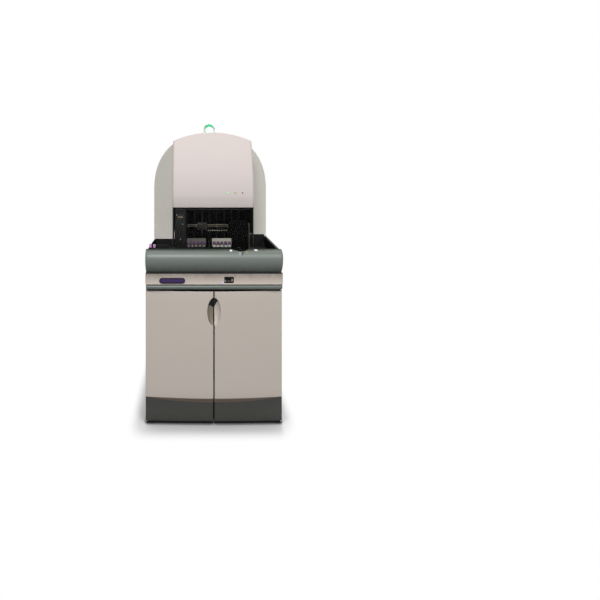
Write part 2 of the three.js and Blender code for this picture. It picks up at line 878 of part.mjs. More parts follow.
function hoodBody(inset, bottom, end) {
  const half = hoodHalfWidth - inset;
  const corner = Math.max(hoodCorner - inset, edgeRound);
  const upper = stationsBetween(hoodCrease, hoodCrown, hoodSteps);
  const rings = [bottom, ...upper, hoodCrown + 2 * hoodRoofRise].map((z) => {
    const front = hoodFrontAt(z) + inset;
    const right = arcPoints(half - corner, front + corner, corner, corner, 0, -Math.PI / 2, 3);
    const left = right.slice().reverse().map(([x, y]) => [-x, y]);
    return [[half, end], ...right, ...left, [-half, end]].map(([x, y]) => new THREE.Vector3(x, y, z));
  });
  const column = loft(rings, seenAlongZ);
  const spread = hoodHalfWidth + cutOverrun;
  const columns = stationsBetween(-hoodHalfWidth, hoodHalfWidth, 18);
  const roof = [-spread, ...columns.slice(1, -1), spread].map((x) => {
    const seen = Math.min(Math.max(x, -hoodHalfWidth), hoodHalfWidth);
    const near = hoodFace - cutOverrun;
    const far = end + cutOverrun;
    return [
      new THREE.Vector3(x, near, bottom - cutOverrun), new THREE.Vector3(x, far, bottom - cutOverrun),
      new THREE.Vector3(x, far, roofAt(seen, far) - inset),
      new THREE.Vector3(x, near, roofAt(seen, near) - inset),
    ];
  });
  return common(column, loft(roof, seenAlongX));
}

function addHood() {
  const outer = hoodBody(0, hoodBottom, hoodEnd);
  const inner = hoodBody(hoodWall, hoodBottom - cutOverrun, hoodEnd + cutOverrun);
  addPiece('hood_cover', cut(outer, inner), warmWhite);
  const windowTop = hoodBottom - seam;
  const shieldOutline = (inset) => {
    const half = hoodHalfWidth - windowInset - inset;
    const corner = hoodCorner - inset;
    const front = hoodFace + hoodChamfer + inset;
    const back = hoodEnd + (inset ? cutOverrun : 0);
    const right = arcPoints(half - corner, front + corner, corner, corner, 0, -Math.PI / 2, 3);
    const left = right.slice().reverse().map(([x, y]) => [-x, y]);
    return [[half, back], ...right, ...left, [-half, back]];
  };
  const slab = (inset, z0, z1) => loft([z0, z1].map((z) => shieldOutline(inset).map(
    ([x, y]) => new THREE.Vector3(x, y, z),
  )), seenAlongZ);
  const notch = boxGeometry(
    [turretX - turretRadius - turretClearance, turretX + turretRadius + turretClearance],
    [hoodFace - cutOverrun, hoodFace + hoodChamfer + windowThickness + cutOverrun],
    [windowBottom - cutOverrun, windowBottom + windowNotchHeight],
  );
  const hollow = slab(windowThickness, windowBottom - cutOverrun, windowTop + cutOverrun);
  const gate = boxGeometry(
    [-hoodHalfWidth - cutOverrun, hoodHalfWidth + cutOverrun],
    [hoodFace + hoodChamfer + windowReturn, hoodEnd + cutOverrun], [windowBottom - cutOverrun, rackGate],
  );
  addPiece('smoked_window', cut(slab(0, windowBottom, windowTop), hollow, notch, gate), smoke);
  const lamps = [['ready_light', lampGreen], ['busy_light', lampAmber], ['fault_light', lampRed]];
  lamps.forEach(([name, material], i) => {
    const face = hoodSkinAt(statusHeight - statusRadius) - seam;
    const x = statusFirst + i * statusPitch;
    addPiece(name, cylinderY(statusRadius, face - statusReach, face, x, statusHeight, 12), material);
  });
}

// Hinge under the crown: the bracket holds the pin and the hood's leaves turn on it.
const hingeY = hoodEnd - hingeSetback;
const hingeZ = roofAt(0, hoodEnd) - hingeDrop;
const wallFront = hoodEnd + seam;

function addHoodHinge() {
  const knuckle = cylinderX(knuckleRadius, -knuckleHalf, knuckleHalf, hingeY, hingeZ, 14);
  const plate = boxGeometry(
    [-knuckleHalf, knuckleHalf], [wallFront - seam - leafThickness, wallFront - seam],
    [hingeZ - leafHeight, hingeZ],
  );
  const reach = knuckleHalf + seam + leafWidth;
  const pin = cylinderX(hingePinRadius, -reach, reach, hingeY, hingeZ, 10);
  addPiece('hood_hinge_bracket', join(knuckle, plate, pin), steel);
}

function addHoodLeaf() {
  const inside = knuckleHalf + seam;
  const outside = inside + leafWidth;
  const plateFront = hingeY - leafHeight;
  const plateTop = roofAt(outside, plateFront) - hoodWall - seam;
  const plateBottom = plateTop - leafThickness;
  const knuckleGap = knuckleRadius + seam + leafThickness / 2;
  const plate = boxGeometry([-outside, outside], [plateFront, hingeY - knuckleGap], [plateBottom, plateTop]);
  const sides = [[-outside, -inside], [inside, outside]];
  const knuckles = sides.map(([x0, x1]) => cylinderX(knuckleRadius, x0, x1, hingeY, hingeZ, 14));
  const arms = sides.map((span) => boxGeometry(
    span, [hingeY - 2 * knuckleRadius, hingeY], [plateBottom, plateTop],
  ));
  const boreReach = outside + cutOverrun;
  const bore = cylinderX(hingePinRadius + seam, -boreReach, boreReach, hingeY, hingeZ, 10);
  addPiece('hood_hinge_leaf', cut(join(plate, ...knuckles, ...arms), bore), steel);
}

// Sample bay behind the smoked window

function addBayWall() {
  const half = hoodHalfWidth - bayWallInset;
  const top = stationsBetween(half, -half, 16).map((x) => [x, roofAt(x, hoodEnd) - backWallDrop]);
  const outline = [[half, deckFloor], ...top, [-half, deckFloor]];
  addPiece('bay_back_wall', alongY(outline, wallFront, archY - seam), baySatin);
}

const wallSeat = wallFront - seam;
const railCentreY = frontPlane + railY;
const railFront = railCentreY - railSize / 2;
const postX = turretX + stationWidth / 2 + columnInset;

function addTransport() {
  addPiece('bay_left_column', boxGeometry(
    [columnX, columnRight], [wallSeat - columnDepth, wallSeat], [deckFloor, deckHeight + columnHeight],
  ), baySatin);
  const rail = boxGeometry(
    [columnRight + seam, postX + postWidth], [railFront, railFront + railSize],
    [railHeight - railSize / 2, railHeight + railSize / 2],
  );
  const post = boxGeometry(
    [postX, postX + postWidth], [railCentreY - postDepth / 2, railCentreY + postDepth / 2],
    [deckFloor, railHeight + railSize],
  );
  addPiece('transport_rail', join(rail, post), moduleGrey);
}

const carriageBack = railFront - seam;
const carriageFront = carriageBack - carriageDepth;
const probeY = carriageFront - seam - probeHeadSize / 2;

function addProbe() {
  addPiece('probe_carriage', boxGeometry(
    [carriageX - carriageWidth / 2, carriageX + carriageWidth / 2], [carriageFront, carriageBack],
    [railHeight - carriageHeight / 2, railHeight + carriageHeight / 2],
  ), moduleGrey);
  const head = boxGeometry(
    [carriageX - probeHeadSize / 2, carriageX + probeHeadSize / 2],
    [probeY - probeHeadSize / 2, probeY + probeHeadSize / 2],
    [railHeight - probeHeadDrop, railHeight + probeHeadDrop],
  );
  const needle = cylinderZ(probeRadius, probeTip, probeTip + probeLength, carriageX, probeY, 10);
  addPiece('aspiration_probe', join(head, needle), steel);
}

function addModules() {
  addPiece('optics_module', boxGeometry(
    [-moduleOffset - opticsWidth, -moduleOffset], [wallSeat - opticsDepth, wallSeat],
    [moduleBottom, moduleBottom + opticsHeight],
  ), moduleGrey);
  addPiece('pump_module', boxGeometry(
    [moduleOffset, moduleOffset + pumpWidth], [wallSeat - pumpDepth, wallSeat],
    [moduleBottom, moduleBottom + pumpHeight],
  ), moduleGrey);
}

// A tray with two end walls, a high back and a low front, and tubes standing in the first places.
function cassette(x, y, tubes, rear, top) {
  const half = cassetteWidth / 2;
  const back = y + cassetteDepth / 2;
  const front = y - cassetteDepth / 2;
  const inner = half - cassetteWall;
  const block = boxGeometry([x - half, x + half], [front, back], [deckFloor, deckFloor + rear]);
  const hollow = boxGeometry(
    [x - inner, x + inner], [front + cassetteWall, back - cassetteWall],
    [deckFloor + cassetteFloor, deckFloor + rear + cutOverrun],
  );
  const face = boxGeometry(
    [x - half - cutOverrun, x + half + cutOverrun], [front - cutOverrun, back - cassetteWall],
    [deckFloor + cassetteFront, deckFloor + rear + cutOverrun],
  );
  const first = x - ((cassetteCount - 1) * tubePitch) / 2;
  const profile = [
    [0, deckFloor + cassetteFloor - tubeSink], [tubeRadius, deckFloor + cassetteFloor - tubeSink],
    [tubeRadius, deckFloor + top - capHeight], [capRadius, deckFloor + top - capHeight],
    [capRadius, deckFloor + top], [0, deckFloor + top],
  ];
  const filled = Array.from({ length: tubes }, (_, i) => turned(profile, first + i * tubePitch, y, 10));
  return join(cut(block, hollow, face), ...filled);
}

function addCassettes() {
  const bayY = frontPlane + bayCassetteY;
  const trayX = -shellHalfWidth + leftRimWidth + 2 * seam + cassetteWidth / 2;
  const full = (x) => cassette(x, bayY, cassetteCount, cassetteBack, tubeTop);
  const low = cassette(trayX, frontPlane + trayCassetteY, 2, trayBack, trayTubeTop);
  addPiece('left_cassette', full(leftCassetteX), cassetteGrey);
  addPiece('right_cassette', full(rightCassetteX), cassetteGrey);
  addPiece('tray_cassette', low, cassetteGrey);
}

function addBeacon() {
  const y = frontPlane + beaconY;
  const seat = crownHeight + seam;
  addPiece('beacon_base', cylinderZ(beaconRadius, seat, seat + beaconBaseHeight, 0, y, 24), slateGreen);
  const foot = seat + beaconBaseHeight + seam;
  const spring = beaconTop - beaconRadius;
  const inner = beaconRadius - beaconWall;
  const dome = arcPoints(0, spring, beaconRadius, beaconRadius, 0, Math.PI / 2, 6).slice(0, -1);
  const hollow = arcPoints(0, spring, inner, inner, Math.PI / 2, 0, 6).slice(1);
  const profile = [
    [0, spring + inner], ...hollow, [inner, foot], [beaconRadius, foot], ...dome, [0, beaconTop],
  ];
  addPiece('beacon_lens', turned(profile, 0, y, 24), beaconClear);
}

addFeet();
addCabinet();
addPivots();
addCatch();
addDoors();
addSupplies();
addTrimBar();
addBand();
addBandFittings();
addRocker();
addBumper();
addTray();
addTubeStation();
addArchedHousing();
addSupplyUnits();
addHood();
addHoodHinge();
addHoodLeaf();
addBayWall();
addTransport();
addProbe();
addModules();
addCassettes();
addBeacon();

export default machine;
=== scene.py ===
"""Hematology analyzer on its cabinet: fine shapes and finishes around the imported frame."""

from __future__ import annotations

import logging
import math
from dataclasses import dataclass
from enum import Enum
from typing import Callable, ClassVar, Iterable, Sequence

import bmesh
import bpy
from mathutils import Matrix, Vector


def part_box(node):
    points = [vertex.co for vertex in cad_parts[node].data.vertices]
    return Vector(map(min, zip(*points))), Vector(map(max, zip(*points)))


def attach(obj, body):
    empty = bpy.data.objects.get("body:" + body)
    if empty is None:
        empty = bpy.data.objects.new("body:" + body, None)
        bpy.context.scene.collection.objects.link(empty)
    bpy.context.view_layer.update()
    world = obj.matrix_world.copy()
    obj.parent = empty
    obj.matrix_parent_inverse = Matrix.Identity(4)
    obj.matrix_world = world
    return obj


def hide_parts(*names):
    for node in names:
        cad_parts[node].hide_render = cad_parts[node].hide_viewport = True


LOG = logging.getLogger("analyzer")
MM = 0.001
Point = tuple[float, float, float]
Pair = tuple[float, float]
Feeds = dict["str | int", object]
Tree = bpy.types.NodeTree
Node = bpy.types.Node
Socket = bpy.types.NodeSocket
Piece = bpy.types.Object
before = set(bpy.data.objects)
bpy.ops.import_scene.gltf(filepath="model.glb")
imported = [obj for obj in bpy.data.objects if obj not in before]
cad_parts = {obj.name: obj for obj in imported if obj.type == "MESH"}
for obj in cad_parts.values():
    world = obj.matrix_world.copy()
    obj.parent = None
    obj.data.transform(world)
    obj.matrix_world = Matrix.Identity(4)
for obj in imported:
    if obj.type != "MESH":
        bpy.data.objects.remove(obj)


class Side(Enum):
    """The two sides of the machine, as the sign of X."""

    LEFT = -1
    RIGHT = 1

    @property
    def word(self) -> str:
        """Name of the side as piece names use it."""
        return self.name.lower()


# Node trees


def srgb(code: str) -> tuple[float, float, float, float]:
    """Turns a hex colour into the linear values that shaders take.

    Args:
        code: Six hex digits, as read off a colour chart.

    Returns:
        Linear red, green and blue with alpha 1.
    """
    parts = [int(code[i:i + 2], 16) / 255 for i in (0, 2, 4)]
    linear = [p / 12.92 if p <= 0.04045 else ((p + 0.055) / 1.055) ** 2.4 for p in parts]
    return (linear[0], linear[1], linear[2], 1.0)


def feed(tree: Tree, node: Node, feeds: Feeds) -> None:
    """Sets or links a node's inputs.

    Args:
        tree: Tree that holds the node.
        node: The node.
        feeds: Values or output sockets, by name or index of the input.
    """
    for key, value in feeds.items():
        if isinstance(value, Socket):
            tree.links.new(value, node.inputs[key])
        else:
            node.inputs[key].default_value = value


def add_node(
    tree: Tree, kind: str, feeds: Feeds | None = None, **settings: object,
) -> Node:
    """Adds a node.

    Args:
        tree: Tree that takes the node.
        kind: Its type.
        feeds: Values or output sockets for its inputs.
        settings: Properties by name.

    Returns:
        The new node.
    """
    node = tree.nodes.new(kind)
    for key, value in settings.items():
        setattr(node, key, value)
    feed(tree, node, feeds or {})
    return node


def add_math(tree: Tree, operation: str, *feeds: object) -> Socket:
    """Adds a math node and returns its result."""
    return add_node(tree, "ShaderNodeMath", dict(enumerate(feeds)), operation=operation).outputs[0]


def blend(tree: Tree, share: object, one: object, two: object) -> Socket:
    """Adds a mix of two shaders and returns it."""
    return add_node(tree, "ShaderNodeMixShader", {0: share, 1: one, 2: two}).outputs[0]


class TreeMaker:
    """Builds a node tree with named sockets."""

    def __init__(
        self, name: str, kind: str, inputs: dict[str, tuple[str, object]], outputs: dict[str, str],
    ) -> None:
        """Starts a tree with its sockets.

        Args:
            name: Name of the tree.
            kind: Shader or Geometry.
            inputs: Type and default of each input.
            outputs: Type of each output.
        """
        self.tree = bpy.data.node_groups.new(name, f"{kind}NodeTree")
        self.names: dict[str, str] = {}
        for label, (sort, value) in inputs.items():
            made = self.socket(label, "INPUT", sort)
            self.names[label] = made.identifier
            if value is not None:
                made.default_value = value
        for label, sort in outputs.items():
            self.socket(label, "OUTPUT", sort)
        self.inlet = self.tree.nodes.new("NodeGroupInput")
        self.outlet = self.tree.nodes.new("NodeGroupOutput")

    def socket(self, label: str, way: str, sort: str) -> bpy.types.NodeTreeInterfaceSocket:
        """Adds a socket of a type to the tree's outside."""
        return self.tree.interface.new_socket(name=label, in_out=way, socket_type=f"NodeSocket{sort}")

    def given(self, label: str) -> Socket:
        """Socket that brings an input into the tree."""
        return self.inlet.outputs[label]

    def node(self, kind: str, feeds: Feeds | None = None, **settings: object) -> Node:
        """Adds a node as add_node does."""
        return add_node(self.tree, kind, feeds, **settings)

    def math(self, operation: str, *feeds: object) -> Socket:
        """Adds a math node and returns its result."""
        return add_math(self.tree, operation, *feeds)

    def give(self, **sources: Socket) -> Tree:
        """Links the tree's outputs and returns the tree."""
        feed(self.tree, self.outlet, sources)
        return self.tree


def noise(tree: Tree, scale: object, detail: float, rough: float) -> Socket:
    """Adds noise over the object's own coordinates.

    Args:
        tree: Tree that takes it.
        scale: Value or socket, in cycles per metre.
        detail: How many octaves.
        rough: Strength of the finer octaves.

    Returns:
        Its factor.
    """
    place = add_node(tree, "ShaderNodeTexCoord").outputs["Object"]
    feeds = {"Vector": place, "Scale": scale, "Detail": detail, "Roughness": rough}
    return add_node(tree, "ShaderNodeTexNoise", feeds).outputs["Fac"]


def moulded_surface_group() -> Tree:
    """Fine moulded or sprayed surface: slight tint drift, uneven gloss and a pebbled grain.

    Returns:
        Group with Color, Roughness and Normal outputs.
    """
    made = TreeMaker("moulded_surface", "Shader", {
        "Color": ("Color", (0.8, 0.8, 0.8, 1.0)), "Drift": ("Float", 0.03), "Gloss Base": ("Float", 0.5),
        "Gloss Drift": ("Float", 0.06), "Grain Scale": ("Float", 900.0), "Grain Height": ("Float", 0.00004),
    }, {"Color": "Color", "Roughness": "Float", "Normal": "Vector"})
    centred = made.math("SUBTRACT", noise(made.tree, 3.2, 3.0, 0.55), 0.5)
    drift = made.math("MULTIPLY_ADD", made.math("MULTIPLY", centred, made.given("Drift")), 2.0, 1.0)
    tinted = made.node("ShaderNodeHueSaturation", {"Value": drift, "Color": made.given("Color")})
    patch = noise(made.tree, 38.0, 4.0, 0.6)
    gloss = made.math("MULTIPLY_ADD", patch, made.given("Gloss Drift"), made.given("Gloss Base"))
    grain = noise(made.tree, made.given("Grain Scale"), 2.0, 0.6)
    bump = made.node("ShaderNodeBump", {
        "Strength": 1.0, "Distance": made.given("Grain Height"), "Height": grain})
    return made.give(Color=tinted.outputs["Color"], Roughness=gloss, Normal=bump.outputs["Normal"])


def grime_group() -> Tree:
    """A second colour that fades in between two heights, in patches: real dust on some finishes, and painted
    shade and painted light on others.

    Returns:
        Group that mixes the dust-and-shade colour into Color and lifts Roughness.
    """
    made = TreeMaker("grime", "Shader", {
        "Color": ("Color", (0.3, 0.3, 0.3, 1.0)), "Roughness": ("Float", 0.5),
        "Dust": ("Color", (0.35, 0.33, 0.3, 1.0)), "Amount": ("Float", 0.3), "Level": ("Float", 0.0),
        "End": ("Float", 0.2),
    }, {"Color": "Color", "Roughness": "Float"})
    place = made.node("ShaderNodeTexCoord").outputs["Object"]
    height = made.node("ShaderNodeSeparateXYZ", {0: place}).outputs["Z"]
    fade = made.node("ShaderNodeMapRange", {
        "Value": height, "From Min": made.given("Level"), "From Max": made.given("End"),
        "To Min": 1.0, "To Max": 0.0}).outputs[0]
    patchy = made.math("ADD", noise(made.tree, 24.0, 6.0, 0.7), 0.5)
    amount = made.math("MULTIPLY", made.math("MULTIPLY", fade, patchy), made.given("Amount"))
    mix = made.node("ShaderNodeMixRGB", {
        "Fac": amount, "Color1": made.given("Color"), "Color2": made.given("Dust")})
    dull = made.node(
        "ShaderNodeMath", {0: made.given("Roughness"), 1: amount}, operation="ADD", use_clamp=True)
    return made.give(Color=mix.outputs["Color"], Roughness=dull.outputs[0])


# Finishes


def new_material(name: str) -> tuple[bpy.types.Material, Tree, Node]:
    """Makes a material with nodes.

    Args:
        name: Its name.

    Returns:
        The material, its tree and its shader.
    """
    material = bpy.data.materials.new(name)
    material.use_nodes = True
    return material, material.node_tree, material.node_tree.nodes["Principled BSDF"]


@dataclass(frozen=True)
class Finish:
    """A moulded, sprayed or coated surface.

    The colour is a hex code. Grain scale is in cycles per metre and grain height in metres. The
    dust-and-shade fields fade a second colour in between two heights: real dust on some finishes, and painted
    shade and painted light on others.
    """

    name: str
    colour: str
    roughness: float = 0.5
    metallic: float = 0.0
    drift: float = 0.03
    gloss_drift: float = 0.06
    grain_scale: float = 900.0
    grain_height: float = 0.00003
    coat: float = 0.0
    dust: float = 0.0
    dust_span: Pair = (0.0, 0.2)
    dust_colour: str = "a09c95"
    specular: float = 0.5

    def make(self, groups: dict[str, Tree]) -> bpy.types.Material:
        """Builds the material.

        Args:
            groups: Shared node groups by name.

        Returns:
            The new material.
        """
        material, tree, shader = new_material(self.name)
        surface = add_node(tree, "ShaderNodeGroup", {
            "Color": srgb(self.colour), "Drift": self.drift, "Gloss Drift": self.gloss_drift,
            "Gloss Base": self.roughness - self.gloss_drift / 2, "Grain Scale": self.grain_scale,
            "Grain Height": self.grain_height}, node_tree=groups["moulded_surface"]).outputs
        colour, rough = surface["Color"], surface["Roughness"]
        # Real dust on some finishes, and painted shade and painted light on others, faded in between two
        # heights.
        if self.dust:
            dusted_and_shaded = add_node(tree, "ShaderNodeGroup", {
                "Color": colour, "Roughness": rough, "Dust": srgb(self.dust_colour), "Amount": self.dust,
                "Level": self.dust_span[0], "End": self.dust_span[1]}, node_tree=groups["grime"]).outputs
            colour, rough = dusted_and_shaded["Color"], dusted_and_shaded["Roughness"]
        feed(tree, shader, {
            "Metallic": self.metallic, "Coat Weight": self.coat, "Specular IOR Level": self.specular,
            "Base Color": colour, "Roughness": rough, "Normal": surface["Normal"]})
        return material


@dataclass(frozen=True)
class ClearFinish:
    """A see-through plastic: smoked, clear or frosted, with faint wipe marks."""

    name: str
    colour: str
    roughness: float = 0.04
    alpha: float = 0.4
    wipe: float = 0.03
    specular: float = 0.5

    def make(self, _groups: dict[str, Tree]) -> bpy.types.Material:
        """Builds the material, which casts no shadow.

        Args:
            _groups: Shared node groups by name.

        Returns:
            The new material.
        """
        material, tree, shader = new_material(self.name)
        shadow = add_node(tree, "ShaderNodeLightPath").outputs["Is Shadow Ray"]
        feed(tree, shader, {
            "Base Color": srgb(self.colour), "Specular IOR Level": self.specular,
            "Alpha": add_math(tree, "MULTIPLY_ADD", shadow, -self.alpha, self.alpha),
            "Roughness": add_math(
                tree, "MULTIPLY_ADD", noise(tree, 9.0, 4.0, 0.6), self.wipe, self.roughness)})
        return material


@dataclass(frozen=True)
class LampFinish:
    """A small lens that may be lit."""

    name: str
    colour: str
    glow: float = 0.0
    roughness: float = 0.25

    def make(self, groups: dict[str, Tree]) -> bpy.types.Material:
        """Builds the material.

        Args:
            groups: Shared node groups by name.

        Returns:
            The new material.
        """
        material, tree, shader = new_material(self.name)
        surface = add_node(tree, "ShaderNodeGroup", {
            "Color": srgb(self.colour), "Gloss Base": self.roughness, "Grain Height": 0.000005,
        }, node_tree=groups["moulded_surface"]).outputs
        feed(tree, shader, {
            "Base Color": surface["Color"], "Roughness": surface["Roughness"],
            "Emission Color": surface["Color"], "Emission Strength": self.glow})
        return material


FINISHES = (
    Finish("warm_white", "c1b7b3", 0.58, grain_height=0.00002, specular=0.25),
    # Band beige, darker towards its top edge: painted shadow of the bumper above.
    Finish("band_beige", "c0b5ab", 0.46, grain_height=0.00002, dust=0.62,
           dust_span=(0.846, 0.788), dust_colour="30261c"),
    Finish("door_beige", "b4aba2", 0.5, drift=0.02, grain_scale=1200.0),
    Finish("cool_grey", "bcb9b1", 0.6, grain_height=0.00003, specular=0.3),
    # Lighter copy of the hood's white: painted light on the hood's chin.
    Finish("chin_white", "c8c1bb", 0.6, specular=0.2),
    # Copy of the side shells' grey, darker at the top and lighter towards the foot: painted shade and painted
    # light on the arched face.
    Finish("face_grey", "b6b3ab", 0.6, specular=0.3, dust=0.5, dust_span=(1.0, 1.55), dust_colour="d6d3cb"),
    # Darker, matte copy of the slate for the rims; on the bumper's up-facing faces it is painted shade.
    Finish("slate_matte", "454b46", 0.8, specular=0.1),
    # Bumper slate, darker towards the bumper's lower edge: painted shade on its underside.
    Finish("slate_green", "666d67", 0.44, grain_scale=1500.0, grain_height=0.00004,
           dust=0.45, dust_span=(0.846, 0.925), dust_colour="26241f"),
    Finish("bar_green", "525954", 0.4, grain_scale=1500.0),
    Finish("liner_black", "070707", 0.6, specular=0.2),
    Finish("soot_black", "020202", 0.85, specular=0.06),
    # Door beige as it looks in shade: painted shade on the doors' undercut.
    Finish("undercut_brown", "5f5044", 0.55),
    Finish("kick_grey", "171814", 0.55, grain_scale=1100.0, grain_height=0.00005, dust=0.06),
    Finish("bay_black", "0b0c0b", 0.55, gloss_drift=0.1, specular=0.25),
    Finish("bay_dark", "161711", 0.5, gloss_drift=0.12, specular=0.3),
    Finish("board_grey", "b3aea8", 0.55, dust=0.06),
    Finish("brushed_steel", "b9bcbf", 0.32, metallic=1.0, grain_scale=2400.0, gloss_drift=0.15),
    Finish("foot_rubber", "1d1d1c", 0.8, grain_height=0.00008, dust=0.25, dust_span=(0.0, 0.03)),
    Finish("plate_plum", "231b2d", 0.5, specular=0.2, grain_height=0.000005),
    Finish("plate_violet", "36264f", 0.5, specular=0.2),
    Finish("plate_rim", "2e2636", 0.5, specular=0.2, grain_height=0.000005),
    Finish("tank_white", "e2e3de", 0.5, grain_height=0.00006),
    Finish("waste_amber", "c3a352", 0.45, grain_height=0.00006),
    Finish("cap_blue", "2f5f9a", 0.4),
    Finish("module_grey", "8b9094", 0.45),
    Finish("board_green", "2b5a3c", 0.5, drift=0.1),
    Finish("cassette_grey", "bdb9ad", 0.5, grain_height=0.00002),
    Finish("cap_lavender", "b583b2", 0.38, grain_height=0.00003),
    Finish("tube_white", "dcdcd8", 0.25, coat=0.3),
    Finish("label_white", "e9e8e4", 0.6),
    Finish("blood_red", "5c1519", 0.3, coat=0.3),
    Finish("gasket_black", "0e0e0e", 0.7),
    Finish("bay_brown", "1c1813", 0.45, gloss_drift=0.15),
    Finish("column_green", "0b0c0a", 0.55, specular=0.3, gloss_drift=0.1),
    Finish("rail_brown", "5a5344", 0.4, metallic=0.3, gloss_drift=0.15),
    Finish("label_tan", "7d705c", 0.55),
    Finish("strip_grey", "55564f", 0.4),
    Finish("fitting_white", "d5d5cc", 0.35),
    Finish("dim_steel", "4c4e50", 0.4, metallic=0.8, gloss_drift=0.15),
    # These three are darker copies of the holder grey, cap lavender and label white: painted shade on the
    # cassettes in the bay. The holder and label copies go on the left cassette, the cap copy on both bay
    # cassettes; the label copy also colours one bumper mark.
    Finish("holder_shade", "65645d", 0.55),
    Finish("cap_dusk", "6d4f70", 0.45),
    Finish("label_dim", "8f8f8a", 0.5),
    Finish("mark_yellow", "9a8f3a", 0.5),
    Finish("cap_green", "3e8a58", 0.4),
    Finish("beacon_white", "eef2ee", 0.4),
    # Darker brown: painted shade in the left door's scoop.
    Finish("scoop_brown", "6e6558", 0.45),
    Finish("beacon_grey", "7f8a82", 0.35),
)
CLEAR_FINISHES = (
    ClearFinish("smoked_glass", "060707", 0.05, 0.25, specular=0.1),
    ClearFinish("beacon_clear", "dfeee6", 0.12, 0.45),
)
LAMP_FINISHES = (
    LampFinish("lamp_green", "4fdc5a", 1.1),
    LampFinish("lamp_amber", "a98a4e"),
    LampFinish("lamp_red", "6a2a2e"),
    LampFinish("lamp_blue", "8c9dff", 0.9),
    LampFinish("beacon_green", "2fae74", 0.16),
)


class Palette:
    """Every finish of the machine, made once and looked up by name."""

    def __init__(self) -> None:
        """Makes the shared groups and all materials."""
        self.groups = {
            "moulded_surface": moulded_surface_group(),
            "grime": grime_group(),
        }
        every = (*FINISHES, *CLEAR_FINISHES, *LAMP_FINISHES)
        self.made = {finish.name: finish.make(self.groups) for finish in every}

    def __getitem__(self, name: str) -> bpy.types.Material:
        """Returns the material with that name."""
        return self.made[name]


# Mesh building


def spread(start: float, end: float, count: int) -> list[float]:
    """Returns count + 1 evenly spaced values from start to end."""
    return [start + (end - start) * i / count for i in range(count + 1)]


def arc(centre: Pair, radii: Pair, start: float, end: float, count: int) -> list[Pair]:
    """Points along an elliptical arc.

    Args:
        centre: Middle of the ellipse.
        radii: Its two half sizes.
        start: First angle in degrees.
        end: Last angle in degrees.
        count: Number of steps.

    Returns:
        count + 1 points.
    """
    turns = (math.radians(a) for a in spread(start, end, count))
    return [(centre[0] + radii[0] * math.cos(t), centre[1] + radii[1] * math.sin(t)) for t in turns]


def rounded_rectangle(low: Pair, high: Pair, radius: float, steps: int = 5) -> list[Pair]:
    """Outline of a rectangle with round corners, anticlockwise from the lower right.

    Args:
        low: Lowest corner.
        high: Highest corner.
        radius: Corner radius.
        steps: Steps on each corner.

    Returns:
        The outline's points.
    """
    points: list[Pair] = []
    corners = (
        (high[0] - radius, low[1] + radius, -90),
        (high[0] - radius, high[1] - radius, 0),
        (low[0] + radius, high[1] - radius, 90),
        (low[0] + radius, low[1] + radius, 180),
    )
    for x, y, turn in corners:
        points.extend(arc((x, y), (radius, radius), turn, turn + 90, steps))
    return points


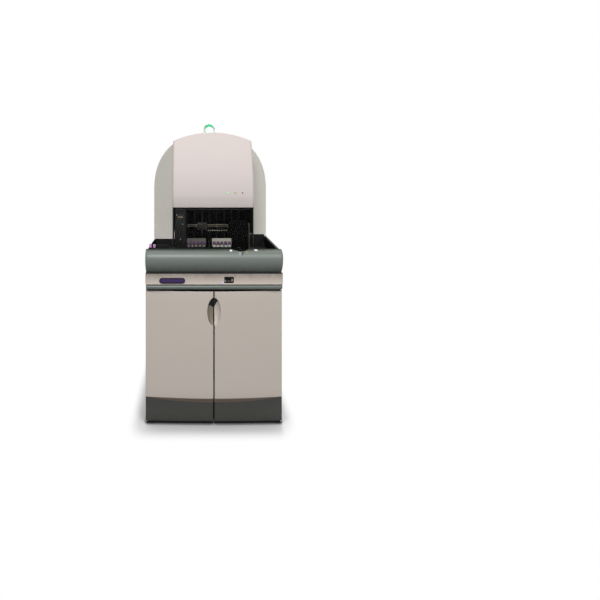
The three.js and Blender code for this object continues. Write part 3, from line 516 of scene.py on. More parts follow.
class Form:
    """One mesh under construction, with places given in millimetres."""

    def __init__(self) -> None:
        """Starts with no faces."""
        self.bm = bmesh.new()

    def ring(self, points: Iterable[Point]) -> list[bmesh.types.BMVert]:
        """Adds loose points and returns them."""
        return [self.bm.verts.new(Vector(p) * MM) for p in points]

    def take(self, mesh: bpy.types.Mesh) -> Form:
        """Takes the faces of a mesh in place of its own.

        Args:
            mesh: The mesh, used up by this.

        Returns:
            The form itself.
        """
        self.bm = bmesh.new()
        self.bm.from_mesh(mesh)
        bpy.data.meshes.remove(mesh)
        return self

    def skin(self, rings: Sequence[Sequence[Point]], closed: bool = True, caps: bool = True) -> Form:
        """Joins rings of equal count with quads.

        Args:
            rings: Rings of points, in order.
            closed: True if each ring runs back to its start.
            caps: True to close the first and last ring.

        Returns:
            The form itself.
        """
        made = [self.ring(points) for points in rings]
        count = len(made[0])
        last = count if closed else count - 1
        for one, two in zip(made, made[1:]):
            for i in range(last):
                j = (i + 1) % count
                self.bm.faces.new((one[i], one[j], two[j], two[i]))
        if caps:
            self.bm.faces.new(list(reversed(made[0])))
            self.bm.faces.new(made[-1])
        return self

    def layers(self, axis: int, *levels: tuple[Sequence[Pair], float], caps: bool = True) -> Form:
        """Joins flat outlines of equal count that lie across an axis.

        Args:
            axis: 0, 1 or 2.
            levels: Each outline with its place on the axis.
            caps: True to close the first and last outline.

        Returns:
            The form itself.
        """
        return self.skin([[lift(p, axis, place) for p in flat] for flat, place in levels], caps=caps)

    def prism(self, outline: Sequence[Pair], axis: int, start: float, end: float) -> Form:
        """Pushes a flat outline along an axis.

        Args:
            outline: Points in the other two axes, in axis order.
            axis: 0, 1 or 2.
            start: First place on the axis.
            end: Last place on the axis.

        Returns:
            The form itself.
        """
        return self.layers(axis, (outline, start), (outline, end))

    def box(self, low: Point, high: Point, radius: float = 1.5, steps: int = 2) -> Form:
        """Adds a box with round edges.

        Args:
            low: Lowest corner.
            high: Highest corner.
            radius: Edge radius.
            steps: Steps on each edge.

        Returns:
            The form itself.
        """
        size = Vector(high) - Vector(low)
        middle = (Vector(high) + Vector(low)) / 2
        place = Matrix.Translation(middle * MM) @ Matrix.Diagonal((*(size * MM), 1.0))
        made = bmesh.ops.create_cube(self.bm, size=1.0, matrix=place)["verts"]
        edges = list({e for v in made for e in v.link_edges})
        if radius > 0:
            reach = min(radius, min(size) * 0.45)
            bmesh.ops.bevel(
                self.bm, geom=edges, offset=reach * MM, segments=steps, profile=0.5,
                affect="EDGES", clamp_overlap=True)
        return self

    def turn(
        self, profile: Sequence[Pair], centre: Point, steps: int = 32, axis: int = 2, hollow: bool = False,
    ) -> Form:
        """Turns a profile about an axis.

        Args:
            profile: Radius and height pairs, from one pole or rim to the other.
            centre: Place of height 0.
            steps: Steps round.
            axis: 0, 1 or 2.
            hollow: True if the profile runs back to its start.

        Returns:
            The form itself.
        """
        rings = []
        for radius, height in profile:
            ring = arc((0, 0), (max(radius, 0.01), max(radius, 0.01)), 0, 360, steps)[:-1]
            rings.append([shift(lift(p, axis, height), centre) for p in ring])
        if hollow:
            rings.append(rings[0])
        return self.skin(rings, caps=not hollow)

    def cut(self, *others: Form) -> Form:
        """Takes other closed forms out of this one."""
        return self.combine("DIFFERENCE", others)

    def join(self, *others: Form) -> Form:
        """Merges other closed forms into this one."""
        return self.combine("UNION", others)

    def keep(self, *others: Form) -> Form:
        """Keeps what other closed forms hold of this one."""
        return self.combine("INTERSECT", others)

    def combine(self, operation: str, others: Sequence[Form]) -> Form:
        """Applies a solid operation with each of the other forms.

        Args:
            operation: DIFFERENCE, UNION or INTERSECT.
            others: Closed forms, used up by this.

        Returns:
            The form itself.
        """
        for other in others:
            body = loose_object(self.mesh())
            tool = loose_object(other.mesh())
            modifier = body.modifiers.new("solid", "BOOLEAN")
            modifier.operation = operation
            modifier.solver = "EXACT"
            modifier.object = tool
            result = evaluated_mesh(body)
            drop_object(body)
            drop_object(tool)
            self.take(result)
        return self

    def split(self, place: Point, way: Point) -> Form:
        """Parts the faces along a plane, so that each side can have its own finish.

        Args:
            place: A point of the plane.
            way: Its normal.

        Returns:
            The form itself.
        """
        bmesh.ops.bisect_plane(
            self.bm, geom=[*self.bm.verts, *self.bm.edges, *self.bm.faces], dist=0.000001,
            plane_co=Vector(place) * MM, plane_no=Vector(way).normalized())
        return self

    def soften(self, radius: float, angle: float = 30.0, steps: int = 2) -> Form:
        """Rounds every edge that is sharper than an angle.

        Args:
            radius: Edge radius.
            angle: Least angle in degrees.
            steps: Steps on each edge.

        Returns:
            The form itself.
        """
        bmesh.ops.remove_doubles(self.bm, verts=self.bm.verts[:], dist=0.00002)
        bmesh.ops.dissolve_limit(
            self.bm, angle_limit=math.radians(0.5), verts=self.bm.verts[:], edges=self.bm.edges[:])
        body = loose_object(self.mesh())
        modifier = body.modifiers.new("soften", "BEVEL")
        modifier.width = radius * MM
        modifier.segments = steps
        modifier.limit_method = "ANGLE"
        modifier.angle_limit = math.radians(angle)
        modifier.use_clamp_overlap = True
        result = evaluated_mesh(body)
        drop_object(body)
        return self.take(result)

    def mesh(self) -> bpy.types.Mesh:
        """Turns the faces outwards and spends the form.

        Returns:
            Its mesh.
        """
        bmesh.ops.remove_doubles(self.bm, verts=self.bm.verts[:], dist=0.00001)
        bmesh.ops.recalc_face_normals(self.bm, faces=self.bm.faces[:])
        made = bpy.data.meshes.new("form")
        self.bm.to_mesh(made)
        self.bm.free()
        return made


def lift(point: Pair, axis: int, place: float) -> Point:
    """Puts a flat point on a plane across an axis."""
    values = [point[0], point[1]]
    values.insert(axis, place)
    return (values[0], values[1], values[2])


def shift(point: Point, step: Point) -> Point:
    """Moves a point by a step."""
    return (point[0] + step[0], point[1] + step[1], point[2] + step[2])


def loose_object(mesh: bpy.types.Mesh) -> Piece:
    """Links a helper object for a mesh."""
    made = bpy.data.objects.new("helper", mesh)
    bpy.context.scene.collection.objects.link(made)
    return made


def drop_object(item: Piece) -> None:
    """Removes a helper object and its mesh."""
    mesh = item.data
    bpy.data.objects.remove(item)
    bpy.data.meshes.remove(mesh)


def evaluated_mesh(item: Piece) -> bpy.types.Mesh:
    """Returns the mesh that an object's modifiers make."""
    graph = bpy.context.evaluated_depsgraph_get()
    graph.update()
    return bpy.data.meshes.new_from_object(item.evaluated_get(graph))


def node_form(node: str) -> Form:
    """Copies a frame node's mesh as a clean closed form.

    Args:
        node: Name of the frame node.

    Returns:
        The copy.
    """
    made = Form()
    made.bm.from_mesh(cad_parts[node].data)
    made.bm.transform(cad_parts[node].matrix_world)
    bmesh.ops.remove_doubles(made.bm, verts=made.bm.verts[:], dist=0.00002)
    return made


def node_box(node: str) -> tuple[Point, Point]:
    """Lowest and highest corner of a frame node in millimetres."""
    low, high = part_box(node)
    return (tuple(v / MM for v in low), tuple(v / MM for v in high))


# Geometry node trees for what repeats


class UnitsTree(TreeMaker):
    """A geometry node tree that lays a unit out and ends in real faces."""

    def __init__(self, name: str, inputs: dict[str, str]) -> None:
        """Starts a tree that takes a geometry.

        Args:
            name: Name of the tree.
            inputs: Type of each further input.
        """
        every = {label: (sort, None) for label, sort in {"Geometry": "Geometry", **inputs}.items()}
        super().__init__(name, "Geometry", every, {"Geometry": "Geometry"})

    def line(self, count: object, step: object) -> Socket:
        """A row of points."""
        return self.node("GeometryNodeMeshLine", {"Count": count, "Offset": step}).outputs["Mesh"]

    def put(self, points: object, unit: object, **feeds: object) -> Socket:
        """Sets a unit on each of some points."""
        feeds.update(Points=points, Instance=unit)
        return self.node("GeometryNodeInstanceOnPoints", feeds).outputs["Instances"]

    def close(self, units: Socket) -> UnitsTree:
        """Ends the tree in real faces and returns it."""
        real = self.node("GeometryNodeRealizeInstances", {"Geometry": units})
        self.give(Geometry=real.outputs["Geometry"])
        return self


def rows_tree() -> UnitsTree:
    """A tree that sets a unit out in rows: so many across, and so many rows.

    Returns:
        The tree.
    """
    made = UnitsTree("rows_of_units", {
        "Across": "Int", "Across Step": "Vector", "Rows": "Int", "Row Step": "Vector"})
    across = made.line(made.given("Across"), made.given("Across Step"))
    rows = made.line(made.given("Rows"), made.given("Row Step"))
    return made.close(made.put(rows, made.put(across, made.given("Geometry"))))


def ring_tree() -> UnitsTree:
    """A tree that sets a unit out round an upright axis, each turned to face outwards.

    Returns:
        The tree.
    """
    made = UnitsTree("ring_of_units", {"Count": "Int", "Centre": "Vector"})
    points = made.line(made.given("Count"), (0, 0, 0))
    index = made.node("GeometryNodeInputIndex").outputs["Index"]
    turn = made.math("MULTIPLY", index, made.math("DIVIDE", math.tau, made.given("Count")))
    angles = made.node("ShaderNodeCombineXYZ", {"Z": turn}).outputs[0]
    units = made.put(points, made.given("Geometry"), Rotation=angles)
    moved = made.node("GeometryNodeTransform", {"Geometry": units, "Translation": made.given("Centre")})
    return made.close(moved.outputs["Geometry"])


def places_tree() -> UnitsTree:
    """A tree that sets a unit on each point of a mesh.

    Returns:
        The tree.
    """
    made = UnitsTree("units_at_places", {"Unit": "Object"})
    unit = made.node("GeometryNodeObjectInfo", {"Object": made.given("Unit")}).outputs["Geometry"]
    return made.close(made.put(made.given("Geometry"), unit))


class Setter:
    """Lays units out through the geometry node trees."""

    def __init__(self) -> None:
        """Builds each tree once."""
        self.rows = rows_tree()
        self.ring = ring_tree()
        self.places = places_tree()

    def run(self, maker: UnitsTree, mesh: bpy.types.Mesh, values: dict[str, object]) -> Form:
        """Applies a tree to a mesh.

        Args:
            maker: The tree.
            mesh: Mesh that goes in, used up by this.
            values: Inputs by name.

        Returns:
            The result as a form.
        """
        item = loose_object(mesh)
        modifier = item.modifiers.new("units", "NODES")
        modifier.node_group = maker.tree
        for name, value in values.items():
            modifier[maker.names[name]] = value
        result = evaluated_mesh(item)
        drop_object(item)
        return Form().take(result)

    def in_rows(
        self, unit: Form, across: int, step: Point, rows: int = 1, row_step: Point = (0, 0, 0),
    ) -> Form:
        """Sets a unit out in rows.

        Args:
            unit: The first unit, in its place.
            across: How many in a row.
            step: Step from one to the next, in millimetres.
            rows: How many rows.
            row_step: Step from one row to the next.

        Returns:
            All units as one form.
        """
        return self.run(self.rows, unit.mesh(), {
            "Across": across, "Across Step": [v * MM for v in step],
            "Rows": rows, "Row Step": [v * MM for v in row_step]})

    def in_ring(self, unit: Form, count: int, centre: Point) -> Form:
        """Sets a unit out round an upright axis through a centre in millimetres."""
        return self.run(self.ring, unit.mesh(), {"Count": count, "Centre": [v * MM for v in centre]})

    def at_places(self, unit: Form, places: Sequence[Point]) -> Form:
        """Sets a unit on each of the places.

        Args:
            unit: The unit at the origin.
            places: Where the units go, in millimetres.

        Returns:
            All units as one form.
        """
        points = bpy.data.meshes.new("places")
        points.from_pydata([tuple(v * MM for v in p) for p in places], [], [])
        holder = loose_object(unit.mesh())
        made = self.run(self.places, points, {"Unit": holder})
        drop_object(holder)
        return made


class Bench:
    """Dresses finished forms and fits them to the machine."""

    def __init__(self) -> None:
        """Makes the palette of finishes."""
        self.palette = Palette()
        self.setter = Setter()
        self.count = 0

    def fit(
        self, name: str, form: Form, finish: str, slot: str, body: str = "root",
        replaces: Sequence[str] = (), sharp: float = 40.0,
    ) -> Piece:
        """Makes a piece of a form.

        Args:
            name: Name of the piece.
            form: Its shape, used up by this.
            finish: Name of its finish.
            slot: Material slot of the record; not used.
            body: Body that carries it.
            replaces: Frame nodes that it stands for.
            sharp: Angle past which an edge is drawn sharp, in degrees.

        Returns:
            The new piece.
        """
        mesh = form.mesh()
        mesh.name = name
        mesh.shade_smooth()
        mesh.set_sharp_from_angle(angle=math.radians(sharp))
        mesh.materials.clear()
        mesh.materials.append(self.palette[finish])
        piece = bpy.data.objects.new(name, mesh)
        bpy.context.scene.collection.objects.link(piece)
        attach(piece, body)
        if replaces:
            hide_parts(*replaces)
        self.count += 1
        LOG.info("fitted %s on %s", name, body)
        return piece

    def block(
        self, name: str, low: Point, high: Point, edge: Pair, finish: str, slot: str,
        body: str = "root", replaces: Sequence[str] = (), sharp: float = 40.0,
    ) -> Piece:
        """Makes a piece of a box with round edges.

        Args:
            name: Name of the piece.
            low: Lowest corner.
            high: Highest corner.
            edge: Edge radius, and steps on each edge.
            finish: Name of its finish.
            slot: Material slot of the record.
            body: Body that carries it.
            replaces: Frame nodes that it stands for.
            sharp: Angle past which an edge is drawn sharp, in degrees.

        Returns:
            The new piece.
        """
        return self.fit(name, Form().box(low, high, *edge), finish, slot, body, replaces, sharp)

    def dress(
        self, name: str, node: str, edge: tuple[float, float, int], finish: str, slot: str,
        body: str = "root", sharp: float = 40.0,
    ) -> Piece:
        """Makes a piece of a frame node's own shape with its edges rounded.

        Args:
            name: Name of the piece.
            node: The frame node, which it stands for.
            edge: Edge radius, least angle, and steps on each edge.
            finish: Name of its finish.
            slot: Material slot of the record.
            body: Body that carries it.
            sharp: Angle past which an edge is drawn sharp, in degrees.

        Returns:
            The new piece.
        """
        return self.fit(name, node_form(node).soften(*edge), finish, slot, body, (node,), sharp)

    def tint(
        self, piece: Piece, finish: str, chosen: Callable[[Vector, Vector], bool],
    ) -> None:
        """Gives some faces of a piece a second finish.

        Args:
            piece: The piece.
            finish: Name of the finish.
            chosen: Takes a face's centre in millimetres and its normal.
        """
        piece.data.materials.append(self.palette[finish])
        slot = len(piece.data.materials) - 1
        for face in piece.data.polygons:
            if chosen(face.center / MM, face.normal):
                face.material_index = slot


# Levels and planes that the sub-assemblies share, in millimetres

FRONT = -366.5
BACK = 406.5
HALF = 381.0
SEAM = 0.3
DOOR_BACK = -345.0
DOOR_TOP = 743.7
BAR_BOTTOM = 757.3
BAR_TOP = 782.3
BAND_BOTTOM = 782.6
BAND_TOP = 844.6
BUMPER_BOTTOM = 848.0
BUMPER_TOP = 970.0
DECK = 930.0
ARCH_FACE = -46.5
ARCH_SPRING = 1300.0
ARCH_POWER = 2.3
CROWN = 1680.0
SHELL_HALF = 373.0
CABINET_BACK = 400.0


def fall_back(into: float, radius: float) -> float:
    """How far a rounded edge falls back at so much past its start."""
    return radius - math.sqrt(max(0.0, radius ** 2 - max(0.0, into) ** 2))


def rounded_stations(half: float, end: float) -> list[float]:
    """Places across a bar, close together at its round ends."""
    right = [half - end + math.sin(math.radians(a)) * end for a in spread(0, 90, 8)]
    return [-x for x in reversed(right)] + right


def screw_head(radius: float, facing: int = -1) -> Form:
    """A domed screw head with a socket.

    Args:
        radius: Its radius in millimetres.
        facing: -1 to face the front, 1 to face the back.

    Returns:
        The head at the origin.
    """
    profile = ((0, -0.3), (1, -0.3), (1, 0.2), (0.86, 0.8), (0.6, 1.1), (0.5, 1.1), (0.45, 0.5), (0, 0.5))
    points = [(max(share * radius, 0.1), facing * y) for share, y in profile]
    return Form().turn(points, (0, 0, 0), 14, 1)


def bow_at(x: float, bow: float) -> float:
    """How far a bowed front stands out at x, by how far it does in the middle."""
    return bow * (1 - (x / HALF) ** 2)


def ellipsoid(centre: Point, radii: Point, steps: int = 48) -> Form:
    """A smooth closed egg shape.

    Args:
        centre: Its middle.
        radii: Its three half sizes.
        steps: Steps round.

    Returns:
        The form.
    """
    made = Form()
    rings = []
    for turn in spread(-89.0, 89.0, steps // 2):
        angle = math.radians(turn)
        flat = arc((0, 0), (math.cos(angle), math.cos(angle)), 0, 360, steps)[:-1]
        rings.append([
            (centre[0] + radii[0] * u, centre[1] + radii[1] * v, centre[2] + radii[2] * math.sin(angle))
            for u, v in flat
        ])
    return made.skin(rings)


@dataclass
class Assembly:
    """A sub-assembly, whose pieces are fitted on a bench."""

    bench: Bench


@dataclass
class Cabinet(Assembly):
    """The cabinet's two bowed doors with their kick plates, and the scoop they share."""

    bow: float = 18.0
    kick_bow: float = 5.0
    split: float = 3.5
    edge: float = 4.0
    undercut: float = 29.0
    face_bottom: float = 150.3
    kick_bottom: float = 15.0
    kick_edge: float = 3.0
    scoop_middle: float = 630.0
    scoop_radii: Point = (37.5, 24.0, 78.0)
    shade_edge: ClassVar[dict[Side, Pair]] = {Side.LEFT: (643.0, -0.75), Side.RIGHT: (641.0, 2.3)}
    pivot: Pair = (369.0, -355.5)
    pivot_radius: float = 4.3

    def kick_top(self, x: float) -> float:
        """Height of the curved line where a door face meets its kick plate."""
        return 150.0 - self.undercut * (1 - (x / HALF) ** 2)

    def stations(self, side: Side) -> list[float]:
        """Places across a door, close together at its rounded edges."""
        inner = [self.split + s for s in (0, 0.35, 1.2, 2.4, 4.0)]
        outer = [HALF - s for s in (4.0, 2.4, 1.2, 0.35, 0)]
        return [side.value * x for x in (*inner, *spread(16.0, HALF - 12.0, 30), *outer)]

    def inset_at(self, x: float) -> float:
        """How far the rounded upright edges fall back at x."""
        return fall_back(self.edge - min(abs(x) - self.split, HALF - abs(x)), self.edge)

    def door_profile(self, x: float) -> list[Point]:
        """Section of a door, from its foot at the back round to its top at the back.

        Args:
            x: Place across the machine, in millimetres.

        Returns:
            Its points.
        """
        inset = self.inset_at(x)
        front = FRONT - bow_at(x, self.bow) + inset
        foot = self.kick_top(x) + SEAM
        low = max(FRONT - bow_at(x, self.kick_bow) + inset, front)
        slope = [(low + (front - low) * s, foot + (self.face_bottom - foot) * s) for s in (0, 0.5, 0.8)]
        lip = [(front + 0.4, self.face_bottom + 0.2), (front, self.face_bottom + 2.5)]
        face = [(front, z) for z in spread(200.0, 700.0, 10)]
        top = arc((front + self.edge, DOOR_TOP - self.edge), (self.edge, self.edge), 180, 90, 5)
        profile = [(DOOR_BACK, foot), *slope, *lip, *face, *top, (DOOR_BACK, DOOR_TOP)]
        return [(x, y, z) for y, z in profile]

    def kick_profile(self, x: float) -> list[Point]:
        """Section of a kick plate.

        Args:
            x: Place across the machine, in millimetres.

        Returns:
            Its points.
        """
        inset = self.inset_at(x)
        front = FRONT - bow_at(x, self.kick_bow) + inset
        head = self.kick_top(x)
        soft = self.kick_edge
        foot = arc((front + soft, self.kick_bottom + soft), (soft, soft), 270, 180, 4)[1:]
        profile = [
            (DOOR_BACK, self.kick_bottom), (front + soft, self.kick_bottom), *foot,
            (front, self.kick_bottom + 40), (front, head - 0.6), (front + 0.6, head), (DOOR_BACK, head)]
        return [(x, y, z) for y, z in profile]

    def sweep_profile(self, x: float) -> list[Point]:
        """Section of the dark strip under a kick plate at x: painted shade for the shadowed gap over the
        floor.
        """
        front = FRONT - bow_at(x, self.kick_bow) + self.inset_at(x) + 3.2
        foot, head = 3.0, self.kick_bottom - 0.1
        return [(x, front, head), (x, front, foot), (x, front + 2.4, foot), (x, front + 2.4, head)]

    def bore(self, side: Side, low: float, high: float) -> Form:
        """A pivot hole."""
        x = side.value * self.pivot[0]
        return Form().turn(
            [(self.pivot_radius, low), (self.pivot_radius, high)], (x, self.pivot[1], 0), 24)

    def build(self) -> None:
        """Builds both doors, their kick plates and the scoop they share."""
        for side in Side:
            body = f"{side.word}_door_leaf"
            scoop = ellipsoid((0, FRONT - self.bow, self.scoop_middle), self.scoop_radii, 64)
            door = Form().skin([self.door_profile(x) for x in self.stations(side)])
            door.cut(scoop, self.bore(side, DOOR_TOP - 24.3, DOOR_TOP + 5))
            self.round_scoop(door)
            edge, climb = self.shade_edge[side]
            door.split((0, 0, edge), (-climb, 0, 1))
            made = self.bench.fit(
                f"{side.word}_bowed_door", door, "door_beige", "door_beige", body, (f"{side.word}_door",))
            # Painted shade: the sloping undercut at the foot of each door takes a dark brown, for the shade
            # under the bowed face.
            self.bench.tint(made, "undercut_brown", lambda at, way: at.z < self.face_bottom and way.y < -0.3)
            # Painted shade: the doors' top faces, in the shadow under the trim bar, take the black finish.
            self.bench.tint(made, "liner_black", lambda at, way: at.z > DOOR_TOP - 1.5 and way.z > 0.6)
            # Painted shadow: the scoop's wall above a slanted line takes the black finish, for the shadow
            # that falls into the hollow.
            self.bench.tint(
                made, "liner_black", lambda at, way: self.in_scoop(at) and at.z > edge + climb * at.x)
            # Painted shade: on the left door the rest of the scoop's wall takes a darker brown, for the shade
            # in the hollow.
            if side is Side.LEFT:
                self.bench.tint(
                    made, "scoop_brown", lambda at, way: self.in_scoop(at) and at.z < edge + climb * at.x)
            kick = Form().skin([self.kick_profile(x) for x in self.stations(side)])
            kick.cut(self.bore(side, self.kick_bottom - 5, self.kick_bottom + 24.3))
            self.bench.fit(
                f"{side.word}_scuffed_kick", kick, "kick_grey", "kick_grey", body,
                (f"{side.word}_kick_plate",))
            # Painted shade: a dark strip fills the gap under the kick plate, where only shadow lies.
            shade_strip = Form().skin([self.sweep_profile(x) for x in self.stations(side)])
            self.bench.fit(f"{side.word}_kick_sweep", shade_strip, "liner_black", "foot_rubber", body)
        self.bench.block(
            "meeting_seal", (-3.2, DOOR_BACK - 6, 17), (2.8, DOOR_BACK - 0.6, DOOR_TOP - 2), (0.6, 1),
            "liner_black", "foot_rubber", "left_door_leaf")

    def in_scoop(self, at: Vector) -> bool:
        """Says whether a face lies on the wall of the scoop."""
        steps = (at.x, at.y - FRONT + self.bow, at.z - self.scoop_middle)
        reach = sum((step / radius) ** 2 for step, radius in zip(steps, self.scoop_radii))
        return 0.8 < reach < 1.02 and at.y > FRONT - self.bow + 2.5

    def round_scoop(self, door: Form) -> None:
        """Rounds the rim where the scoop breaks through the face.

        Args:
            door: The door.
        """
        rim = []
        door.bm.edges.ensure_lookup_table()
        bmesh.ops.recalc_face_normals(door.bm, faces=door.bm.faces[:])
        for edge in door.bm.edges:
            middle = (edge.verts[0].co + edge.verts[1].co) / 2 / MM
            across = (middle.x / self.scoop_radii[0]) ** 2
            up = ((middle.z - self.scoop_middle) / self.scoop_radii[2]) ** 2
            on_rim = 0.9 < across + up < 1.1 and middle.y < FRONT - self.bow + 4
            if on_rim and len(edge.link_faces) == 2 and edge.calc_face_angle() > math.radians(35):
                rim.append(edge)
        bmesh.ops.bevel(
            door.bm, geom=rim, offset=1.6 * MM, segments=3, profile=0.5, affect="EDGES", clamp_overlap=True)


@dataclass
class FrontTrim(Assembly):
    """Trim bar over the doors and the pale band over it, with what sits on the band."""

    bar_front: float = FRONT - 35
    bar_back: float = FRONT + 35
    bar_end: float = 12.0
    bar_half: float = 376.0
    band_front: float = FRONT - 25
    band_back: float = -346.8
    band_half: float = 379.0
    band_edge: float = 6.0
    band_end: float = 3.0
    recess_middle: Pair = (82.0, 809.0)
    recess_size: Pair = (53.0, 35.0)
    recess_depth: float = 26.0
    plate_middle: Pair = (-231.0, 804.5)
    plate_size: Pair = (143.0, 33.0)
    light: Pair = (45.0, 791.5)

    def bar_profile(self, x: float) -> list[Point]:
        """Section of the trim bar with its round nose.

        Args:
            x: Place across the machine, in millimetres.

        Returns:
            Its points.
        """
        reach = (BAR_TOP - BAR_BOTTOM) / 2
        inset = fall_back(abs(x) - (self.bar_half - self.bar_end), self.bar_end)
        nose = arc((self.bar_front + reach + inset, BAR_BOTTOM + reach), (reach, reach), 270, 90, 16)
        return [(x, y, z) for y, z in (*nose, (self.bar_back, BAR_TOP), (self.bar_back, BAR_BOTTOM))]

    def add_bar(self) -> None:
        """Builds the trim bar with its round ends."""
        bar = Form().skin([self.bar_profile(x) for x in rounded_stations(self.bar_half, self.bar_end)])
        self.bench.fit("front_trim_bar", bar, "bar_green", "slate_green", replaces=("trim_bar",), sharp=50)

    def add_band(self) -> None:
        """Builds the band with its switch recess."""
        front, edge, end = self.band_front, self.band_edge, self.band_end
        profile = [
            (self.band_back, BAND_BOTTOM), (front + 1.5, BAND_BOTTOM), (front, BAND_BOTTOM + 1.5),
            *arc((front + edge, BAND_TOP - edge), (edge, edge), 180, 90, 6), (self.band_back, BAND_TOP)]
        right = [self.band_half - e for e in (end, 1.5, 0.5, 0.0)]
        rings = []
        for x in (*(-x for x in reversed(right)), *right):
            fall = fall_back(end - (self.band_half - abs(x)), end)
            rings.append([(x, y + (fall if y < -360 else 0), z) for y, z in profile])
        band = Form().skin(rings)
        band.cut(Form().prism(self.recess_outline(0, 4.0), 1, front - 5, front + self.recess_depth))
        self.add_seals()
        self.bench.fit(
            "pale_front_band", band, "band_beige", "warm_white", replaces=("lower_front_band",), sharp=35)
        self.add_recess_frame()

    def recess_outline(self, inset: float, corner: float) -> list[Pair]:
        """Outline of the switch recess inset by so much, with its corner radius."""
        (x, z), (width, height) = self.recess_middle, self.recess_size
        half = (width / 2 - inset, height / 2 - inset)
        return rounded_rectangle((x - half[0], z - half[1]), (x + half[0], z + half[1]), corner, 4)

    def add_seals(self) -> None:
        """Lays dark strips in the gaps over and under the band and over the doors: painted shade for the
        shadow in those gaps.
        """
        reach = self.band_half - 3
        upper = Form().box((-reach, -392.8, 843.4), (reach, -372, BUMPER_BOTTOM - 0.1), 0.5, 1)
        upper.cut(Form().box((-reach - 1, -391.7, 840), (reach + 1, -371, BAND_TOP + 0.1), 0))
        self.bench.fit("band_upper_seal", upper, "gasket_black", "bay_black")
        self.bench.block(
            "band_lower_seal", (-371, self.band_front - 3.2, 780.9), (371, self.band_front - 0.1, 784.2),
            (0.8, 2), "bay_dark", "bay_black")
        self.bench.block(
            "door_head_seal", (-370, FRONT - 8, DOOR_TOP + 0.6), (370, FRONT + 12, BAR_BOTTOM - 0.1),
            (0.3, 1), "liner_black", "bay_black")

    def add_recess_frame(self) -> None:
        """Lines the recess with a thin dark sleeve whose rim stands a little proud."""
        front = self.band_front - 0.6
        back = self.band_front + self.recess_depth - 0.2
        levels = [
            (self.recess_outline(inset, corner), y) for inset, corner, y in (
                (0.1, 4.0, back), (0.1, 4.0, front + 0.4), (0.6, 3.6, front), (1.6, 2.6, front + 0.3),
                (1.6, 2.6, back), (0.1, 4.0, back))]
        sleeve = Form().layers(1, *levels, caps=False)
        self.bench.fit("recess_sleeve", sleeve, "liner_black", "bay_black", sharp=32)

    def add_plate(self) -> None:
        """Builds the blank name plate: a pale raised rim round a dark pill."""
        x, z = self.plate_middle
        half = (self.plate_size[0] / 2, self.plate_size[1] / 2)
        seat = self.band_front - SEAM

        def pill(*levels: Pair) -> Form:
            """A form over the plate's outline.

            Args:
                levels: How far each outline is inset, and how far it stands before the band.

            Returns:
                The form.
            """
            return Form().layers(1, *(
                (rounded_rectangle(
                    (x - half[0] + inset, z - half[1] + inset), (x + half[0] - inset, z + half[1] - inset),
                    half[1] - inset - 0.05, 10), seat - proud) for inset, proud in levels))

        rim = pill((0, 0), (0, 1.2), (0.5, 1.9), (1.4, 2.0), (2.0, 1.5), (2.0, 0))
        self.bench.fit("name_plate_rim", rim, "plate_rim", "plate_plum", replaces=("name_plate",))
        face = pill((2.1, 0.1), (2.1, 1.0), (2.6, 1.3), (8, 1.5))
        self.bench.fit("name_plate_face", face, "plate_plum", "plate_plum")
        field = pill((8.2, 1.4), (8.2, 1.7), (8.8, 1.85))
        self.bench.fit("name_plate_field", field, "plate_violet", "plate_plum")

    def add_light(self) -> None:
        """Builds the domed power light."""
        x, z = self.light
        seat = self.band_front - SEAM
        lens = Form().turn(
            [(0.1, 0), (3.4, 0), (3.5, -0.8), (3.0, -1.7), (1.8, -2.3), (0.1, -2.5)], (x, seat, z), 24, 1)
        self.bench.fit(
            "power_light_lens", lens, "lamp_blue", "lamp_blue", replaces=("power_light",), sharp=60)

    def add_rocker(self) -> None:
        """Builds the rocker with its rounded edges and a plain mark."""
        low, high = node_box("power_rocker")
        self.bench.dress("dished_rocker", "power_rocker", (1.2, 25, 3), "liner_black", "bay_black", "rocker")
        place = (self.recess_middle[0], low[1] + 0.4, high[2] - 4.5)
        dot = Form().turn([(0.1, 0.6), (1.4, 0.6), (1.4, -0.25), (0.1, -0.3)], place, 16, 1)
        self.bench.fit("rocker_mark", dot, "label_white", "bay_black", "rocker")

    def build(self) -> None:
        """Builds the whole front trim."""
        self.add_bar()
        self.add_band()
        self.add_plate()
        self.add_light()
        self.add_rocker()


